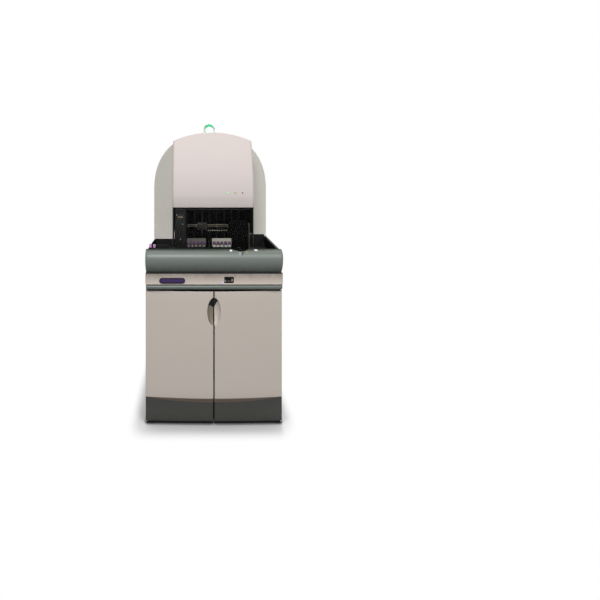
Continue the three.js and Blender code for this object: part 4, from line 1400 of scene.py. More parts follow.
@dataclass
class Tray(Assembly):
    """Front bumper, tray deck, rims and liners, turret and the housing behind it."""

    nose: float = FRONT - 40
    rim_back: float = -346.8
    half: float = 380.0
    end_round: float = 18.0
    rim_depth: float = 12.0
    fall: float = 45.0
    under: float = 28.0
    turret: Pair = (151.0, -336.5)
    turret_radius: float = 44.0
    turret_top: float = 970.0
    well_offset: float = 30.0
    station_low: Point = (95.5, -289.5, 930.3)
    station_high: Point = (206.5, -226.5, 1124.0)
    station_corner: float = 9.0
    station_edge: float = 6.0

    def bumper_profile(self, x: float) -> list[Point]:
        """Section of the bumper.

        Args:
            x: Place across the machine, in millimetres.

        Returns:
            Its points.
        """
        nose = self.nose + fall_back(abs(x) - (self.half - self.end_round), self.end_round)
        flat = self.rim_back - self.rim_depth
        middle = BUMPER_TOP - self.fall
        drop = middle - BUMPER_BOTTOM
        profile = [(self.rim_back, BUMPER_TOP), *arc((flat, middle), (flat - nose, self.fall), 90, 180, 18)]
        profile += [(nose + self.under * s * s, middle - drop * s) for s in spread(0.1, 0.95, 9)]
        foot = nose + self.under
        profile += [
            (foot + 0.6, BUMPER_BOTTOM + 0.6), (foot + 2, BUMPER_BOTTOM), (self.rim_back, BUMPER_BOTTOM)]
        return [(x, y, z) for y, z in profile]

    def add_bumper(self) -> None:
        """Builds the bumper with the round cut-out for the turret."""
        bumper = Form().skin([self.bumper_profile(x) for x in rounded_stations(self.half, self.end_round)])
        ring = self.turret_radius + 3
        bumper.cut(Form().turn([(ring, DECK), (ring, BUMPER_TOP + 5)], (*self.turret, 0), 72))
        made = self.bench.fit(
            "tray_bumper", bumper, "slate_green", "slate_green", replaces=("front_bumper",), sharp=50)
        self.bench.tint(made, "liner_black", lambda at, way: math.hypot(
            at.x - self.turret[0], at.y - self.turret[1]) < ring + 0.5 and abs(way.z) < 0.3)
        # Painted shade: the bumper's up-facing faces take the darker, matte slate.
        self.bench.tint(made, "slate_matte", lambda at, way: way.z > 0.95)

    def add_rims(self) -> None:
        """Builds the tray rims with rounded tops."""
        for side in Side:
            self.bench.dress(
                f"{side.word}_rounded_rim", f"{side.word}_tray_rim", (2.4, 30, 3), "slate_matte",
                "slate_green", sharp=50)

    def add_liners(self) -> None:
        """Lines the tray's inner faces in black: both rims and the foot of the arched face."""
        for side, head, rise in ((Side.LEFT, 974.0, 0.0), (Side.RIGHT, 1005.0, 25.0)):
            low, high = node_box(f"{side.word}_tray_rim")
            inner = high[0] if side is Side.LEFT else low[0]
            ends = sorted((inner - side.value * 0.15, inner - side.value * 1.1))
            front, back = low[1] + 1, high[1] - 1.4
            skirt = [(front, DECK + 0.4), (back, DECK + 0.4), (back, BUMPER_TOP + rise - 2.5),
                     (front, BUMPER_TOP - 2.5)]
            sheet = Form().prism(skirt, 0, ends[0], ends[1])
            self.bench.fit(f"{side.word}_rim_liner", sheet, "liner_black", "bay_black")
            xs = sorted((side.value * 235.5, inner - side.value * 1.3))
            self.bench.block(
                f"{side.word}_face_apron", (xs[0], ARCH_FACE - 1.6, DECK + 0.4),
                (xs[1], ARCH_FACE - 0.3, head), (0.4, 1), "liner_black", "bay_black")

    def add_marks(self) -> None:
        """Sets small plain marks on the bumper beside the turret."""
        flat = self.rim_back - self.rim_depth
        centre = (flat, BUMPER_TOP - self.fall)
        reach = flat - self.nose
        for name, x, width, low, high, lean, finish in (
                ("left", 88, 13, 60, 82, 0, "label_white"),
                ("right", 226, 17, 66, 88, 0, "label_white"),
                ("slant", 177, 5, 29, 54, 30, "gasket_black"),
                ("slant_edge", 138, 7, 31, 55, 0, "label_dim"),
                ("dot", 176, 8, 46, 57, 0, "mark_yellow")):
            path = (*arc(centre, (-reach, self.fall), low, high, 6),
                    *arc(centre, (-reach - 0.5, self.fall + 0.5), high, low, 6))
            ends = [[(start + lean * (y - flat) / reach, y, z) for y, z in path] for start in (x, x + width)]
            self.bench.fit(f"bumper_mark_{name}", Form().skin(ends), finish, "slate_green")

    def add_deck(self) -> None:
        """Builds the deck."""
        self.bench.block(
            "tray_floor", *node_box("tray_deck"), (1.0, 2), "bay_dark", "bay_black",
            replaces=("tray_deck",), sharp=32)

    def add_turret(self) -> None:
        """Builds the turret: a domed rim, a dished top and two sleeved wells."""
        x, middle = self.turret
        r, top, foot = self.turret_radius, self.turret_top, DECK + SEAM
        body = Form().turn(
            [(0.1, foot), (r - 1, foot), (r, foot + 1), (r, top - 6), (r - 0.8, top - 2.6),
             (r - 2.6, top - 0.8), (r - 6, top), (r - 9, top - 0.6), (r - 11, top - 2.2), (0.1, top - 2.2)],
            (x, middle, 0), 72)
        sleeves = Form()
        for sign in (-1, 1):
            place = (x, middle + sign * self.well_offset, 0)
            body.cut(Form().turn([(7.5, top - 32), (7.5, top + 5)], place, 32))
            sleeves.turn(
                [(7.2, top - 31), (7.2, top - 1.5), (7.6, top - 0.9), (9.6, top - 0.9), (10.2, top - 1.4),
                 (10.2, top - 2.6), (7.45, top - 2.6), (7.45, top - 31)], place, 32, hollow=True)
        self.bench.fit("sample_turret", body, "soot_black", "bay_black", "turret", ("tube_turret",))
        self.bench.fit("well_sleeves", sleeves, "bay_dark", "bay_black", "turret")

    def add_station(self) -> None:
        """Builds the dark housing behind the turret, with its rounded edges."""
        low, high = self.station_low, self.station_high
        corner, edge = self.station_corner, self.station_edge
        levels = [(0.0, low[2])]
        for angle in (math.radians(a) for a in spread(0, 90, 4)):
            levels.append((edge * (1 - math.cos(angle)), high[2] - edge + edge * math.sin(angle)))
        housing = Form().layers(2, *(
            (rounded_rectangle(
                (low[0] + inset, low[1] + inset), (high[0] - inset, high[1] - inset), corner - inset, 6), z)
            for inset, z in levels))
        self.bench.fit(
            "station_hood", housing, "soot_black", "bay_black", replaces=("station_housing",), sharp=50)

    def build(self) -> None:
        """Builds the bumper and everything on the tray's deck."""
        self.add_bumper()
        self.add_rims()
        self.add_liners()
        self.add_marks()
        self.add_deck()
        self.add_turret()
        self.add_station()


@dataclass
class Housing(Assembly):
    """Arched rear housing: front face, side covers and vault."""

    face_back: float = -40.5
    cover_front: float = -346.5
    skin: float = 5.0
    rim_bottom: float = 900.0
    edge: float = 5.0

    def outline(self, inset: float, bottom: float, steps: int = 72) -> list[Pair]:
        """Outline of the arch from the lower right over the crown to the lower left.

        Args:
            inset: How far inside the shell it runs.
            bottom: Height of its foot.
            steps: Steps over the arch.

        Returns:
            Its points.
        """
        half = SHELL_HALF - inset
        rise = CROWN - ARCH_SPRING - inset

        def full(share: float) -> float:
            """Squares off one side of the curve."""
            return math.copysign(abs(share) ** (2 / ARCH_POWER), share)

        curve = arc((0, 0), (1, 1), 0, 180, steps)
        top = [(half * full(x), ARCH_SPRING + rise * full(z)) for x, z in curve]
        return [(half, bottom), *top, (-half, bottom)]

    def add_face(self) -> None:
        """Builds the arched face with a soft front edge."""
        levels = []
        for angle in (math.radians(a) for a in spread(0, 90, 6)):
            inset = self.edge * (1 - math.sin(angle))
            levels.append((self.outline(inset, DECK + SEAM), ARCH_FACE + self.edge * (1 - math.cos(angle))))
        face = Form().layers(1, *levels, (self.outline(0, DECK + SEAM), self.face_back))
        # The arched face's finish is painted darker at the top and lighter towards the foot.
        self.bench.fit("arched_face", face, "face_grey", "cool_grey", replaces=("arch_face",), sharp=50)

    def add_covers(self) -> None:
        """Builds the two side covers with rounded lower edges."""
        for side in Side:
            outer = side.value * SHELL_HALF
            inner = side.value * (SHELL_HALF - self.skin)
            front, step, shelf = self.cover_front, self.face_back + SEAM, self.rim_bottom - SEAM
            outline = [
                (front, BAND_BOTTOM), (CABINET_BACK, BAND_BOTTOM), (CABINET_BACK, ARCH_SPRING),
                (step, ARCH_SPRING), (step, shelf), (front, shelf)]
            cover = Form().prism(outline, 0, inner, outer).soften(1.2, 30, 3)
            self.bench.fit(
                f"{side.word}_side_shell", cover, "cool_grey", "cool_grey",
                replaces=(f"{side.word}_side_cover",))

    def add_vault(self) -> None:
        """Builds the smooth vault."""
        start = ARCH_SPRING + SEAM
        front = self.face_back + SEAM

        def shell(inset: float) -> list[Pair]:
            """The arch above its spring, inset by so much."""
            return [(x, max(z, start)) for x, z in self.outline(inset, start)[1:-1]]

        inner = shell(self.skin)[::-1]
        vault = Form().layers(1, *(
            ((*shell(inset), *inner), y) for y, inset in (
                (front, 0.8), (front + 0.3, 0.2), (front + 1, 0), (CABINET_BACK - 1, 0),
                (CABINET_BACK - 0.3, 0.2), (CABINET_BACK, 0.8))))
        self.bench.fit("vault_shell", vault, "cool_grey", "cool_grey", replaces=("vault_cover",))

    def build(self) -> None:
        """Builds the housing."""
        self.add_face()
        self.add_covers()
        self.add_vault()


@dataclass
class Hood(Assembly):
    """Lifting hood with its smoked window and status lights."""

    half: float = 234.5
    face: float = -336.5
    end: float = -59.5
    bottom: float = 1203.0
    crease: float = 1256.0
    chamfer: float = 12.0
    shoulder: float = 1598.0
    crown: float = 1650.0
    lean: float = 109.0
    power: float = 1.9
    wall: float = 4.0
    corner: float = 15.0
    rise: float = 26.0
    window_half: float = 234.0
    window_bottom: float = 976.0
    window_wall: float = 4.0
    rack_gate: float = 1045.0
    window_return: float = 34.0
    notch: Pair = (104.0, 198.0)
    notch_top: float = 1010.0
    lights: tuple[tuple[str, float, str], ...] = (
        ("ready", 82.0, "lamp_green"), ("busy", 124.0, "lamp_amber"), ("fault", 166.0, "lamp_red"))
    light_height: float = 1287.0

    def front_at(self, z: float) -> float:
        """Place of the hood's face.

        Args:
            z: Height.

        Returns:
            Y of the face.
        """
        if z < self.crease:
            return self.face + self.chamfer * (self.crease - z) / (self.crease - self.bottom)
        share = (z - self.crease) / (self.crown - self.crease)
        return self.face + self.lean * share ** self.power

    def roof_at(self, x: float, y: float) -> float:
        """Height of the hood's roof.

        Args:
            x: Place across the machine, in millimetres.
            y: Place from front to back.

        Returns:
            Z of the roof.
        """
        sag = self.crown - self.shoulder
        radius = (self.half ** 2 + sag ** 2) / (2 * sag)
        slope = self.rise / (self.end - self.face - self.lean)
        return (self.crown - radius + math.sqrt(radius ** 2 - min(abs(x), self.half) ** 2)
                + slope * (y - self.face - self.lean))

    def column(self, inset: float, low: float, high: float, end: float) -> Form:
        """The hood's round-cornered walls, as a solid.

        Args:
            inset: How far inside the outer face they run.
            low: Lowest height.
            high: Highest height.
            end: Y of the back.

        Returns:
            The form.
        """
        half = self.half - inset
        corner = max(self.corner - inset, 4.0)
        levels = [low, *(z for z in (self.bottom, self.crease - 2) if z > low + 1)]
        levels += spread(self.crease + 2, self.crown, 18)
        levels.append(high)
        rings = []
        for z in levels:
            front = self.front_at(min(z, self.crown + 2 * self.rise)) + inset
            right = arc((half - corner, front + corner), (corner, corner), 0, -90, 10)
            left = [(-x, y) for x, y in reversed(right)]
            rings.append([(x, y, z) for x, y in ((half, end), *right, *left, (-half, end))])
        return Form().skin(rings)

    def roof(self, inset: float, low: float, end: float) -> Form:
        """Everything under the arched roof, as a form to keep.

        Args:
            inset: How far under the roof it ends.
            low: Lowest height.
            end: Y of the back.

        Returns:
            The form.
        """
        reach = self.half + 5
        columns = [-reach, *spread(-self.half, self.half, 48)[1:-1], reach]
        near = self.face - 5
        far = end + 5
        rings = [
            [(x, near, low - 5), (x, far, low - 5), (x, far, self.roof_at(x, far) - inset),
             (x, near, self.roof_at(x, near) - inset)] for x in columns]
        return Form().skin(rings)

    def add_cover(self) -> None:
        """Builds the hood's hollow cover and rounds the edge of its roof."""
        top = self.crown + 2 * self.rise
        cover = self.column(0, self.bottom, top, self.end).keep(self.roof(0, self.bottom, self.end))
        hollow = self.column(self.wall, self.bottom - 5, top, self.end + 5)
        hollow.keep(self.roof(self.wall, self.bottom - 5, self.end + 5))
        cover.cut(hollow)
        cover.soften(3.0, 38, 4)
        made = self.bench.fit("hood_shell", cover, "warm_white", "warm_white", "hood", ("hood_cover",))
        # Painted light: the forward-facing faces of the chin, below the crease, take a lighter copy of the
        # hood's white.
        self.bench.tint(made, "chin_white", lambda at, way: at.z < 1237 and way.y < -0.3)

    def shield_outline(self, inset: float) -> list[Pair]:
        """Plan of the window, open at the back.

        Args:
            inset: How far inside its outer face it runs.

        Returns:
            Its points.
        """
        half = self.window_half - inset
        corner = self.corner - inset
        front = self.face + self.chamfer + inset
        right = arc((half - corner, front + corner), (corner, corner), 0, -90, 8)
        left = [(-x, y) for x, y in reversed(right)]
        back = self.end + (5 if inset else 0)
        return [(half, back), *right, *left, (-half, back)]

    def add_window(self) -> None:
        """Builds the smoked window with its notch over the turret."""
        high = self.bottom - SEAM
        outer = Form().prism(self.shield_outline(0), 2, self.window_bottom, high)
        inner = Form().prism(self.shield_outline(self.window_wall), 2, self.window_bottom - 5, high + 5)
        face = self.face + self.chamfer
        outline = rounded_rectangle(
            (self.notch[0], self.window_bottom - 20), (self.notch[1], self.notch_top), 8, 5)
        notch = Form().prism(outline, 1, face - 5, face + self.window_wall + 5)
        gate = Form().box((-240, face + self.window_return, self.window_bottom - 5),
                          (240, self.end + 5, self.rack_gate), 0)
        outer.cut(inner, notch, gate)
        made = self.bench.fit(
            "smoked_shield", outer, "smoked_glass", "smoked_glass", "hood", ("smoked_window",), 35)
        self.bench.tint(made, "bay_black", lambda at, way: abs(way.x) > 0.5 and abs(at.x) > 225)
        self.bench.block(
            "window_lintel", (-222, face + 8, 1188), (222, face + 14, 1195), (1.0, 2),
            "column_green", "bay_black", "hood")

    def add_lights(self) -> None:
        """Builds three domed lights, each in a thin bezel."""
        for name, x, finish in self.lights:
            place = (x, self.front_at(self.light_height - 4.5) - SEAM, self.light_height)
            lens = Form().turn(
                [(0.1, 0.2), (3.5, 0.2), (3.7, -0.5), (3.0, -1.1), (1.6, -1.45), (0.1, -1.5)], place, 24, 1)
            self.bench.fit(f"{name}_lens", lens, finish, finish, "hood", (f"{name}_light",), 60)
            bezel = Form().turn(
                [(3.75, 0.2), (3.75, -0.6), (4.1, -0.9), (4.5, -0.6), (4.5, 0.2)], place, 24, 1, hollow=True)
            self.bench.fit(f"{name}_bezel", bezel, "module_grey", "warm_white", "hood")

    def build(self) -> None:
        """Builds the hood."""
        self.add_cover()
        self.add_window()
        self.add_lights()


@dataclass
class SampleBay(Assembly):
    """What stands behind the smoked window: wall, column, rail, carriage, probe and fittings."""

    column_low: Point = (-221.0, -317.0, 930.3)
    column_high: Point = (-154.0, -59.3, 1195.0)
    rail_low: Point = (-153.7, -224.5, 1077.0)
    rail_high: Point = (228.0, -208.5, 1093.0)
    post_low: Point = (220.0, -231.5, 930.3)
    post_high: Point = (228.0, -201.5, 1101.0)
    wall_front: float = -59.2
    rib_count: int = 9
    rib_step: float = 48.5
    column_screws: tuple[Pair, ...] = ((-176, 1106), (-188, 1020), (-211, 955), (-211, 1160))
    rail_bolts: tuple[float, ...] = (-140, -95, 28, 92, 154, 205)
    needle_radius: float = 1.55

    def add_wall(self) -> None:
        """Dresses the bay wall and lays upright ribs over it."""
        front = self.wall_front
        self.bench.dress("bay_wall", "bay_back_wall", (1.0, 40, 2), "bay_black", "bay_black")
        rib = Form().box((-205, front - 5.0, 931.0), (-193, front - 0.05, 1198.0), 1.5, 2)
        ribs = self.bench.setter.in_rows(rib, self.rib_count, (self.rib_step, 0, 0))
        self.bench.fit("bay_wall_ribs", ribs, "bay_brown", "bay_black")

    def add_column(self) -> None:
        """Builds the column with its access cover, label and screws."""
        low, high = self.column_low, self.column_high
        front = low[1]
        column = Form().box(low, high, 4.0, 4)
        column.cut(Form().box((low[0] - 5, front - 2, 1178), (high[0] + 5, front + 1.2, 1180), 0))
        self.bench.fit("dark_column", column, "column_green", "bay_black", replaces=("bay_left_column",))
        self.bench.block(
            "column_cover", (low[0] + 6, front - 1.6, 948), (high[0] - 8, front + 0.5, 1168), (1.2, 2),
            "column_green", "bay_black")
        self.bench.block(
            "column_label", (-203, front - 2.1, 1142), (-174, front - 1.5, 1153), (0.3, 1),
            "label_tan", "bay_black")
        places = [(x, front - 1.7, z) for x, z in self.column_screws]
        heads = self.bench.setter.at_places(screw_head(2.8), places)
        self.bench.fit("column_screws", heads, "brushed_steel", "steel")

    def add_rail(self) -> None:
        """Builds the cross rail with its track, belt and end post."""
        low, high = self.rail_low, self.rail_high
        rail = Form().box(low, high, 1.4, 2)
        rail.cut(Form().box((low[0] - 2, low[1] - 3, 1082.4), (high[0] - 12, low[1] + 2.0, 1087.6), 0))
        rail.join(Form().box(self.post_low, self.post_high, 1.4, 2))
        self.bench.fit("cross_rail", rail, "rail_brown", "module_grey", replaces=("transport_rail",))
        self.bench.block(
            "rail_belt", (low[0] + 2, low[1] + 0.6, 1083.4), (high[0] - 14, low[1] + 1.8, 1086.6), (0.4, 1),
            "gasket_black", "bay_black")
        bolt = Form().turn(
            [(0.1, 0), (2.6, 0), (2.6, -1.6), (1.4, -1.6), (1.2, -0.8), (0.1, -0.8)], (0, 0, 0), 12, 1)
        places = [(x, low[1] + 1.5, z) for x in self.rail_bolts for z in (1079.9, 1090.1)]
        self.bench.fit("rail_bolts", self.bench.setter.at_places(bolt, places), "brushed_steel", "steel")

    def add_strip(self) -> None:
        """Builds the pale strip and the face plate of the end post."""
        low, high = self.post_low, self.post_high
        x = high[0]
        self.bench.block(
            "post_strip", (x + 0.05, low[1] + 6, 1012), (x + 2.6, high[1] - 6, 1092), (0.8, 2),
            "strip_grey", "module_grey")
        self.bench.block(
            "post_face", (low[0] + 1, low[1] - 1.8, 1008), (x - 1, low[1] + 0.2, 1096), (0.7, 2),
            "strip_grey", "module_grey")

    def add_carriage(self) -> None:
        """Builds the probe carriage with its cover plate."""
        low, high = node_box("probe_carriage")
        self.bench.block(
            "carriage_block", low, high, (2.0, 3), "bay_brown", "module_grey", "carriage",
            ("probe_carriage",))
        self.bench.block(
            "carriage_plate", (low[0] + 6, low[1] - 0.25, low[2] + 30),
            (low[0] + 20, low[1] + 0.4, high[2] - 4), (0.2, 1), "dim_steel", "steel", "carriage")

    def add_probe(self) -> None:
        """Builds the probe: its head, and the needle with its pointed tip."""
        low, high = node_box("aspiration_probe")
        x, y = (low[0] + high[0]) / 2, (low[1] + high[1]) / 2
        self.bench.block(
            "probe_head", (x - 8, low[1], 1073), (x + 8, high[1], 1097), (2.0, 3), "bay_brown", "steel",
            "probe", ("aspiration_probe",))
        r, foot, head = self.needle_radius, low[2], high[2]
        needle = Form().turn(
            [(0.1, foot), (0.5, foot + 0.2), (1.5, foot + 5), (r, 1060), (r, 1120), (r, head - 8),
             (3.2, head - 7), (3.2, head - 1.5), (2.4, head), (0.1, head)], (x, y, 0), 20)
        self.bench.fit("probe_needle", needle, "dim_steel", "steel", "probe")

    def add_fittings(self) -> None:
        """Builds the bracket of small fluid fittings that hangs over the right cassette."""
        bar = Form().box((-28, -214, 1047), (112, -206, 1063), 1.5, 2)
        bar.join(Form().box((38, -216, 1050), (50, -208.4, 1078), 1.2, 2))
        self.bench.fit("fitting_bar", bar, "bay_dark", "bay_black")
        nozzle = Form().turn(
            [(0.1, 0), (2.8, 0), (2.8, -4), (2.1, -4.6), (2.1, -9), (1.2, -9.8), (0.1, -9.8)],
            (0, 0, 0), 14, 1)
        row = self.bench.setter.at_places(nozzle, [(-22 + 13.6 * i, -213.9, 1055) for i in range(10)])
        self.bench.fit("fluid_fittings", row, "fitting_white", "module_grey")
        self.bench.block("lane_guide", (-26, -316, 931), (-20, -306, 1012), (1.2, 2), "bay_dark", "bay_black")

    def add_modules(self) -> None:
        """Builds the two modules on the wall behind the hood."""
        for node, name in (("optics_module", "optics_case"), ("pump_module", "pump_case")):
            low, high = node_box(node)
            self.bench.block(name, low, high, (3.0, 3), "module_grey", "module_grey", replaces=(node,))
            middle, front, foot = (low[0] + high[0]) / 2, low[1], low[2]
            corners = [(x, z) for x in (low[0] + 10, high[0] - 10) for z in (foot + 10, high[2] - 10)]
            heads = self.bench.setter.at_places(screw_head(3.2), [(x, front - 0.1, z) for x, z in corners])
            self.bench.fit(f"{name}_screws", heads, "brushed_steel", "steel")
            slot = Form().box(
                (middle - 40, front - 0.5, foot + 22), (middle + 40, front + 0.5, foot + 25), 0.4, 1)
            slots = self.bench.setter.in_rows(slot, 6, (0, 0, 9))
            self.bench.fit(f"{name}_slots", slots, "gasket_black", "module_grey")

    def build(self) -> None:
        """Builds the whole bay."""
        self.add_wall()
        self.add_column()
        self.add_rail()
        self.add_strip()
        self.add_carriage()
        self.add_probe()
        self.add_fittings()
        self.add_modules()


@dataclass
class Cassettes(Assembly):
    """Three tube cassettes, each with its tubes, caps and labels."""

    pitch: float = 22.0
    tube_radius: float = 6.4
    cap_radius: float = 8.2
    cap_top: float = 1004.3
    cap_height: float = 18.0
    floor: float = 936.3

    def add_body(self, side: str, low: Point, high: Point) -> None:
        """Builds a cassette's holder with a low front, a stiff back and ribs between the tubes.

        Args:
            side: left, right or tray.
            low: Lowest corner.
            high: Highest corner.
        """
        holder = Form().box(low, high, 1.2, 2)
        back, top = high[1] - 2.2, high[2] + 20
        hollow = Form().box((low[0] + 2, low[1] + 2, low[2] + 6), (high[0] - 2, back, top), 0)
        face = Form().box((low[0] - 5, low[1] - 5, low[2] + 45), (high[0] + 5, back, top), 0)
        holder.cut(hollow, face)
        holder.soften(0.5, 40, 2)
        made = self.bench.fit(
            f"{side}_tube_holder", holder, "cassette_grey", "cassette_grey", self.rider(side),
            (f"{side}_cassette",))
        wall = high[1] - 3
        self.bench.tint(made, "liner_black", lambda at, way: side == "tray" or at.y < wall)
        # Painted shade: the left cassette's back wall takes a darker grey, as it stands deeper in shade.
        if side == "left":
            self.bench.tint(made, "holder_shade", lambda at, way: at.y >= wall)
        head = min(low[2] + 62, high[2] - 6)
        divider = Form().box(
            (low[0] + 12.6, high[1] - 8, low[2] + 20), (low[0] + 14.4, high[1] - 2.1, head), 0.5, 1)
        dividers = self.bench.setter.in_rows(divider, 5, (self.pitch, 0, 0))
        self.bench.fit(f"{side}_holder_ribs", dividers, "bay_dark", "cassette_grey", self.rider(side))

    def rider(self, side: str) -> str:
        """Body that a cassette belongs to."""
        return "tray_cassette_body" if side == "tray" else f"bay_cassette_{side}"

    def add_tubes(self, side: str, low: Point, high: Point, count: int) -> None:
        """Stands capped tubes in a cassette.

        Args:
            side: left, right or tray.
            low: Lowest corner of the cassette.
            high: Highest corner of the cassette.
            count: How many tubes.
        """
        x = (low[0] + high[0]) / 2 - 2 * self.pitch - (3 if side == "tray" else 0)
        y = (low[1] + high[1]) / 2
        body = self.rider(side)
        step = (self.pitch, 0, 0)
        top = 992.3 if side == "tray" else self.cap_top
        r = self.tube_radius
        rim = top - self.cap_height
        foot = self.floor
        glass = Form().turn(
            [(0.1, foot), (r * 0.5, foot + 0.4), (r * 0.9, foot + 2.6), (r, foot + 6), (r, rim + 1),
             (0.1, rim + 1)], (x, y, 0), 20)
        tubes = self.bench.setter.in_rows(glass, count, step)
        self.bench.fit(f"{side}_sample_tubes", tubes, "blood_red", "cassette_grey", body)
        c = self.cap_radius - (0.8 if side == "tray" else 0)
        # Painted shade: caps in the bay take a darker copy of the lavender.
        lavender = "cap_lavender" if side == "tray" else "cap_dusk"
        # Painted shade: the left cassette's labels take a dimmer grey.
        paper = "label_dim" if side == "left" else "tube_white"
        label = Form().turn(
            [(r - 0.3, foot + 12), (r + 0.12, foot + 12.2), (r + 0.12, rim - 0.4), (r - 0.3, rim - 0.2)],
            (x, y, 0), 20)
        labels = self.bench.setter.in_rows(label, count, step)
        self.bench.fit(f"{side}_tube_labels", labels, paper, "cassette_grey", body)
        cap = Form().turn(
            [(0.1, rim), (c - 0.7, rim), (c - 0.2, rim + 0.6), (c - 0.2, top - 2.2), (c - 0.6, top - 0.9),
             (c - 1.6, top - 0.2), (c - 3.2, top - 0.2), (c - 3.6, top - 1.6), (0.1, top - 1.9)],
            (x, y, 0), 28)
        caps = self.bench.setter.in_rows(cap, count, step)
        self.bench.fit(f"{side}_tube_caps", caps, lavender, "cassette_grey", body)
        ridge = Form().box((c - 0.5, -0.35, rim + 1.4), (c, 0.35, top - 3), 0.15, 1)
        ring = self.bench.setter.in_ring(ridge, 22, (x, y, 0))
        ridges = self.bench.setter.in_rows(ring, count, step)
        self.bench.fit(f"{side}_cap_ridges", ridges, lavender, "cassette_grey", body)

    def build(self) -> None:
        """Builds all three."""
        for side, count in (("left", 5), ("right", 5), ("tray", 2)):
            corners = node_box(f"{side}_cassette")
            self.add_body(side, *corners)
            self.add_tubes(side, *corners, count)


@dataclass
class Beacon(Assembly):
    """Status beacon on the crown: ribbed clear lens with a green crown."""

    y: float = 33.5
    seat: float = 1680.3
    radius: float = 39.0
    base_height: float = 10.0
    wall: float = 3.0
    top: float = 1757.0
    green_rise: float = 2.0
    green_slope: float = 0.28

    def dome(self, radius: float, start: float, end: float) -> list[Pair]:
        """Profile of the dome at a radius, between two angles over its spring."""
        return arc((0, self.top - self.radius), (radius, radius), start, end, 26)

    def build(self) -> None:
        """Builds the base, the clear lens, its ribs and the white core."""
        centre = (0, self.y, 0)
        r, s = self.radius, self.seat
        head = s + self.base_height
        base = Form().turn(
            [(0.1, s), (r - 0.6, s), (r, s + 0.6), (r, s + 6.5), (r - 0.8, s + 8.6), (r - 2.4, head),
             (0.1, head)], centre, 64)
        self.bench.fit("beacon_collar", base, "beacon_grey", "slate_green", replaces=("beacon_base",))
        foot = head + SEAM
        spring = self.top - r
        inner = r - self.wall
        lens = Form().turn(
            [(inner, foot), (r, foot), *self.dome(r, 0, 88), *self.dome(inner, 88, 0)], centre, 64,
            hollow=True)
        edge = spring + self.green_rise
        for lean in (-self.green_slope, self.green_slope):
            lens.split((0, self.y, edge), (0, lean, 1))
        made = self.bench.fit(
            "beacon_lens_clear", lens, "beacon_clear", "beacon_clear", replaces=("beacon_lens",), sharp=50)
        self.bench.tint(
            made, "beacon_green", lambda at, way: at.z > edge + self.green_slope * abs(at.y - self.y))
        core = Form().turn(
            [(0.1, foot), (r - 8, foot), (r - 8, foot + 14), (r - 9, foot + 15), (r - 9, spring),
             (r - 14, spring + 14), (0.1, spring + 18)], centre, 40)
        self.bench.fit("beacon_core", core, "beacon_white", "beacon_clear")
        rib = Form().box((r - 3.9, -0.5, foot + 1), (r - 3.1, 0.5, spring - 2), 0.2, 1)
        ribs = self.bench.setter.in_ring(rib, 12, centre)
        self.bench.fit("beacon_ribs", ribs, "beacon_grey", "beacon_clear")


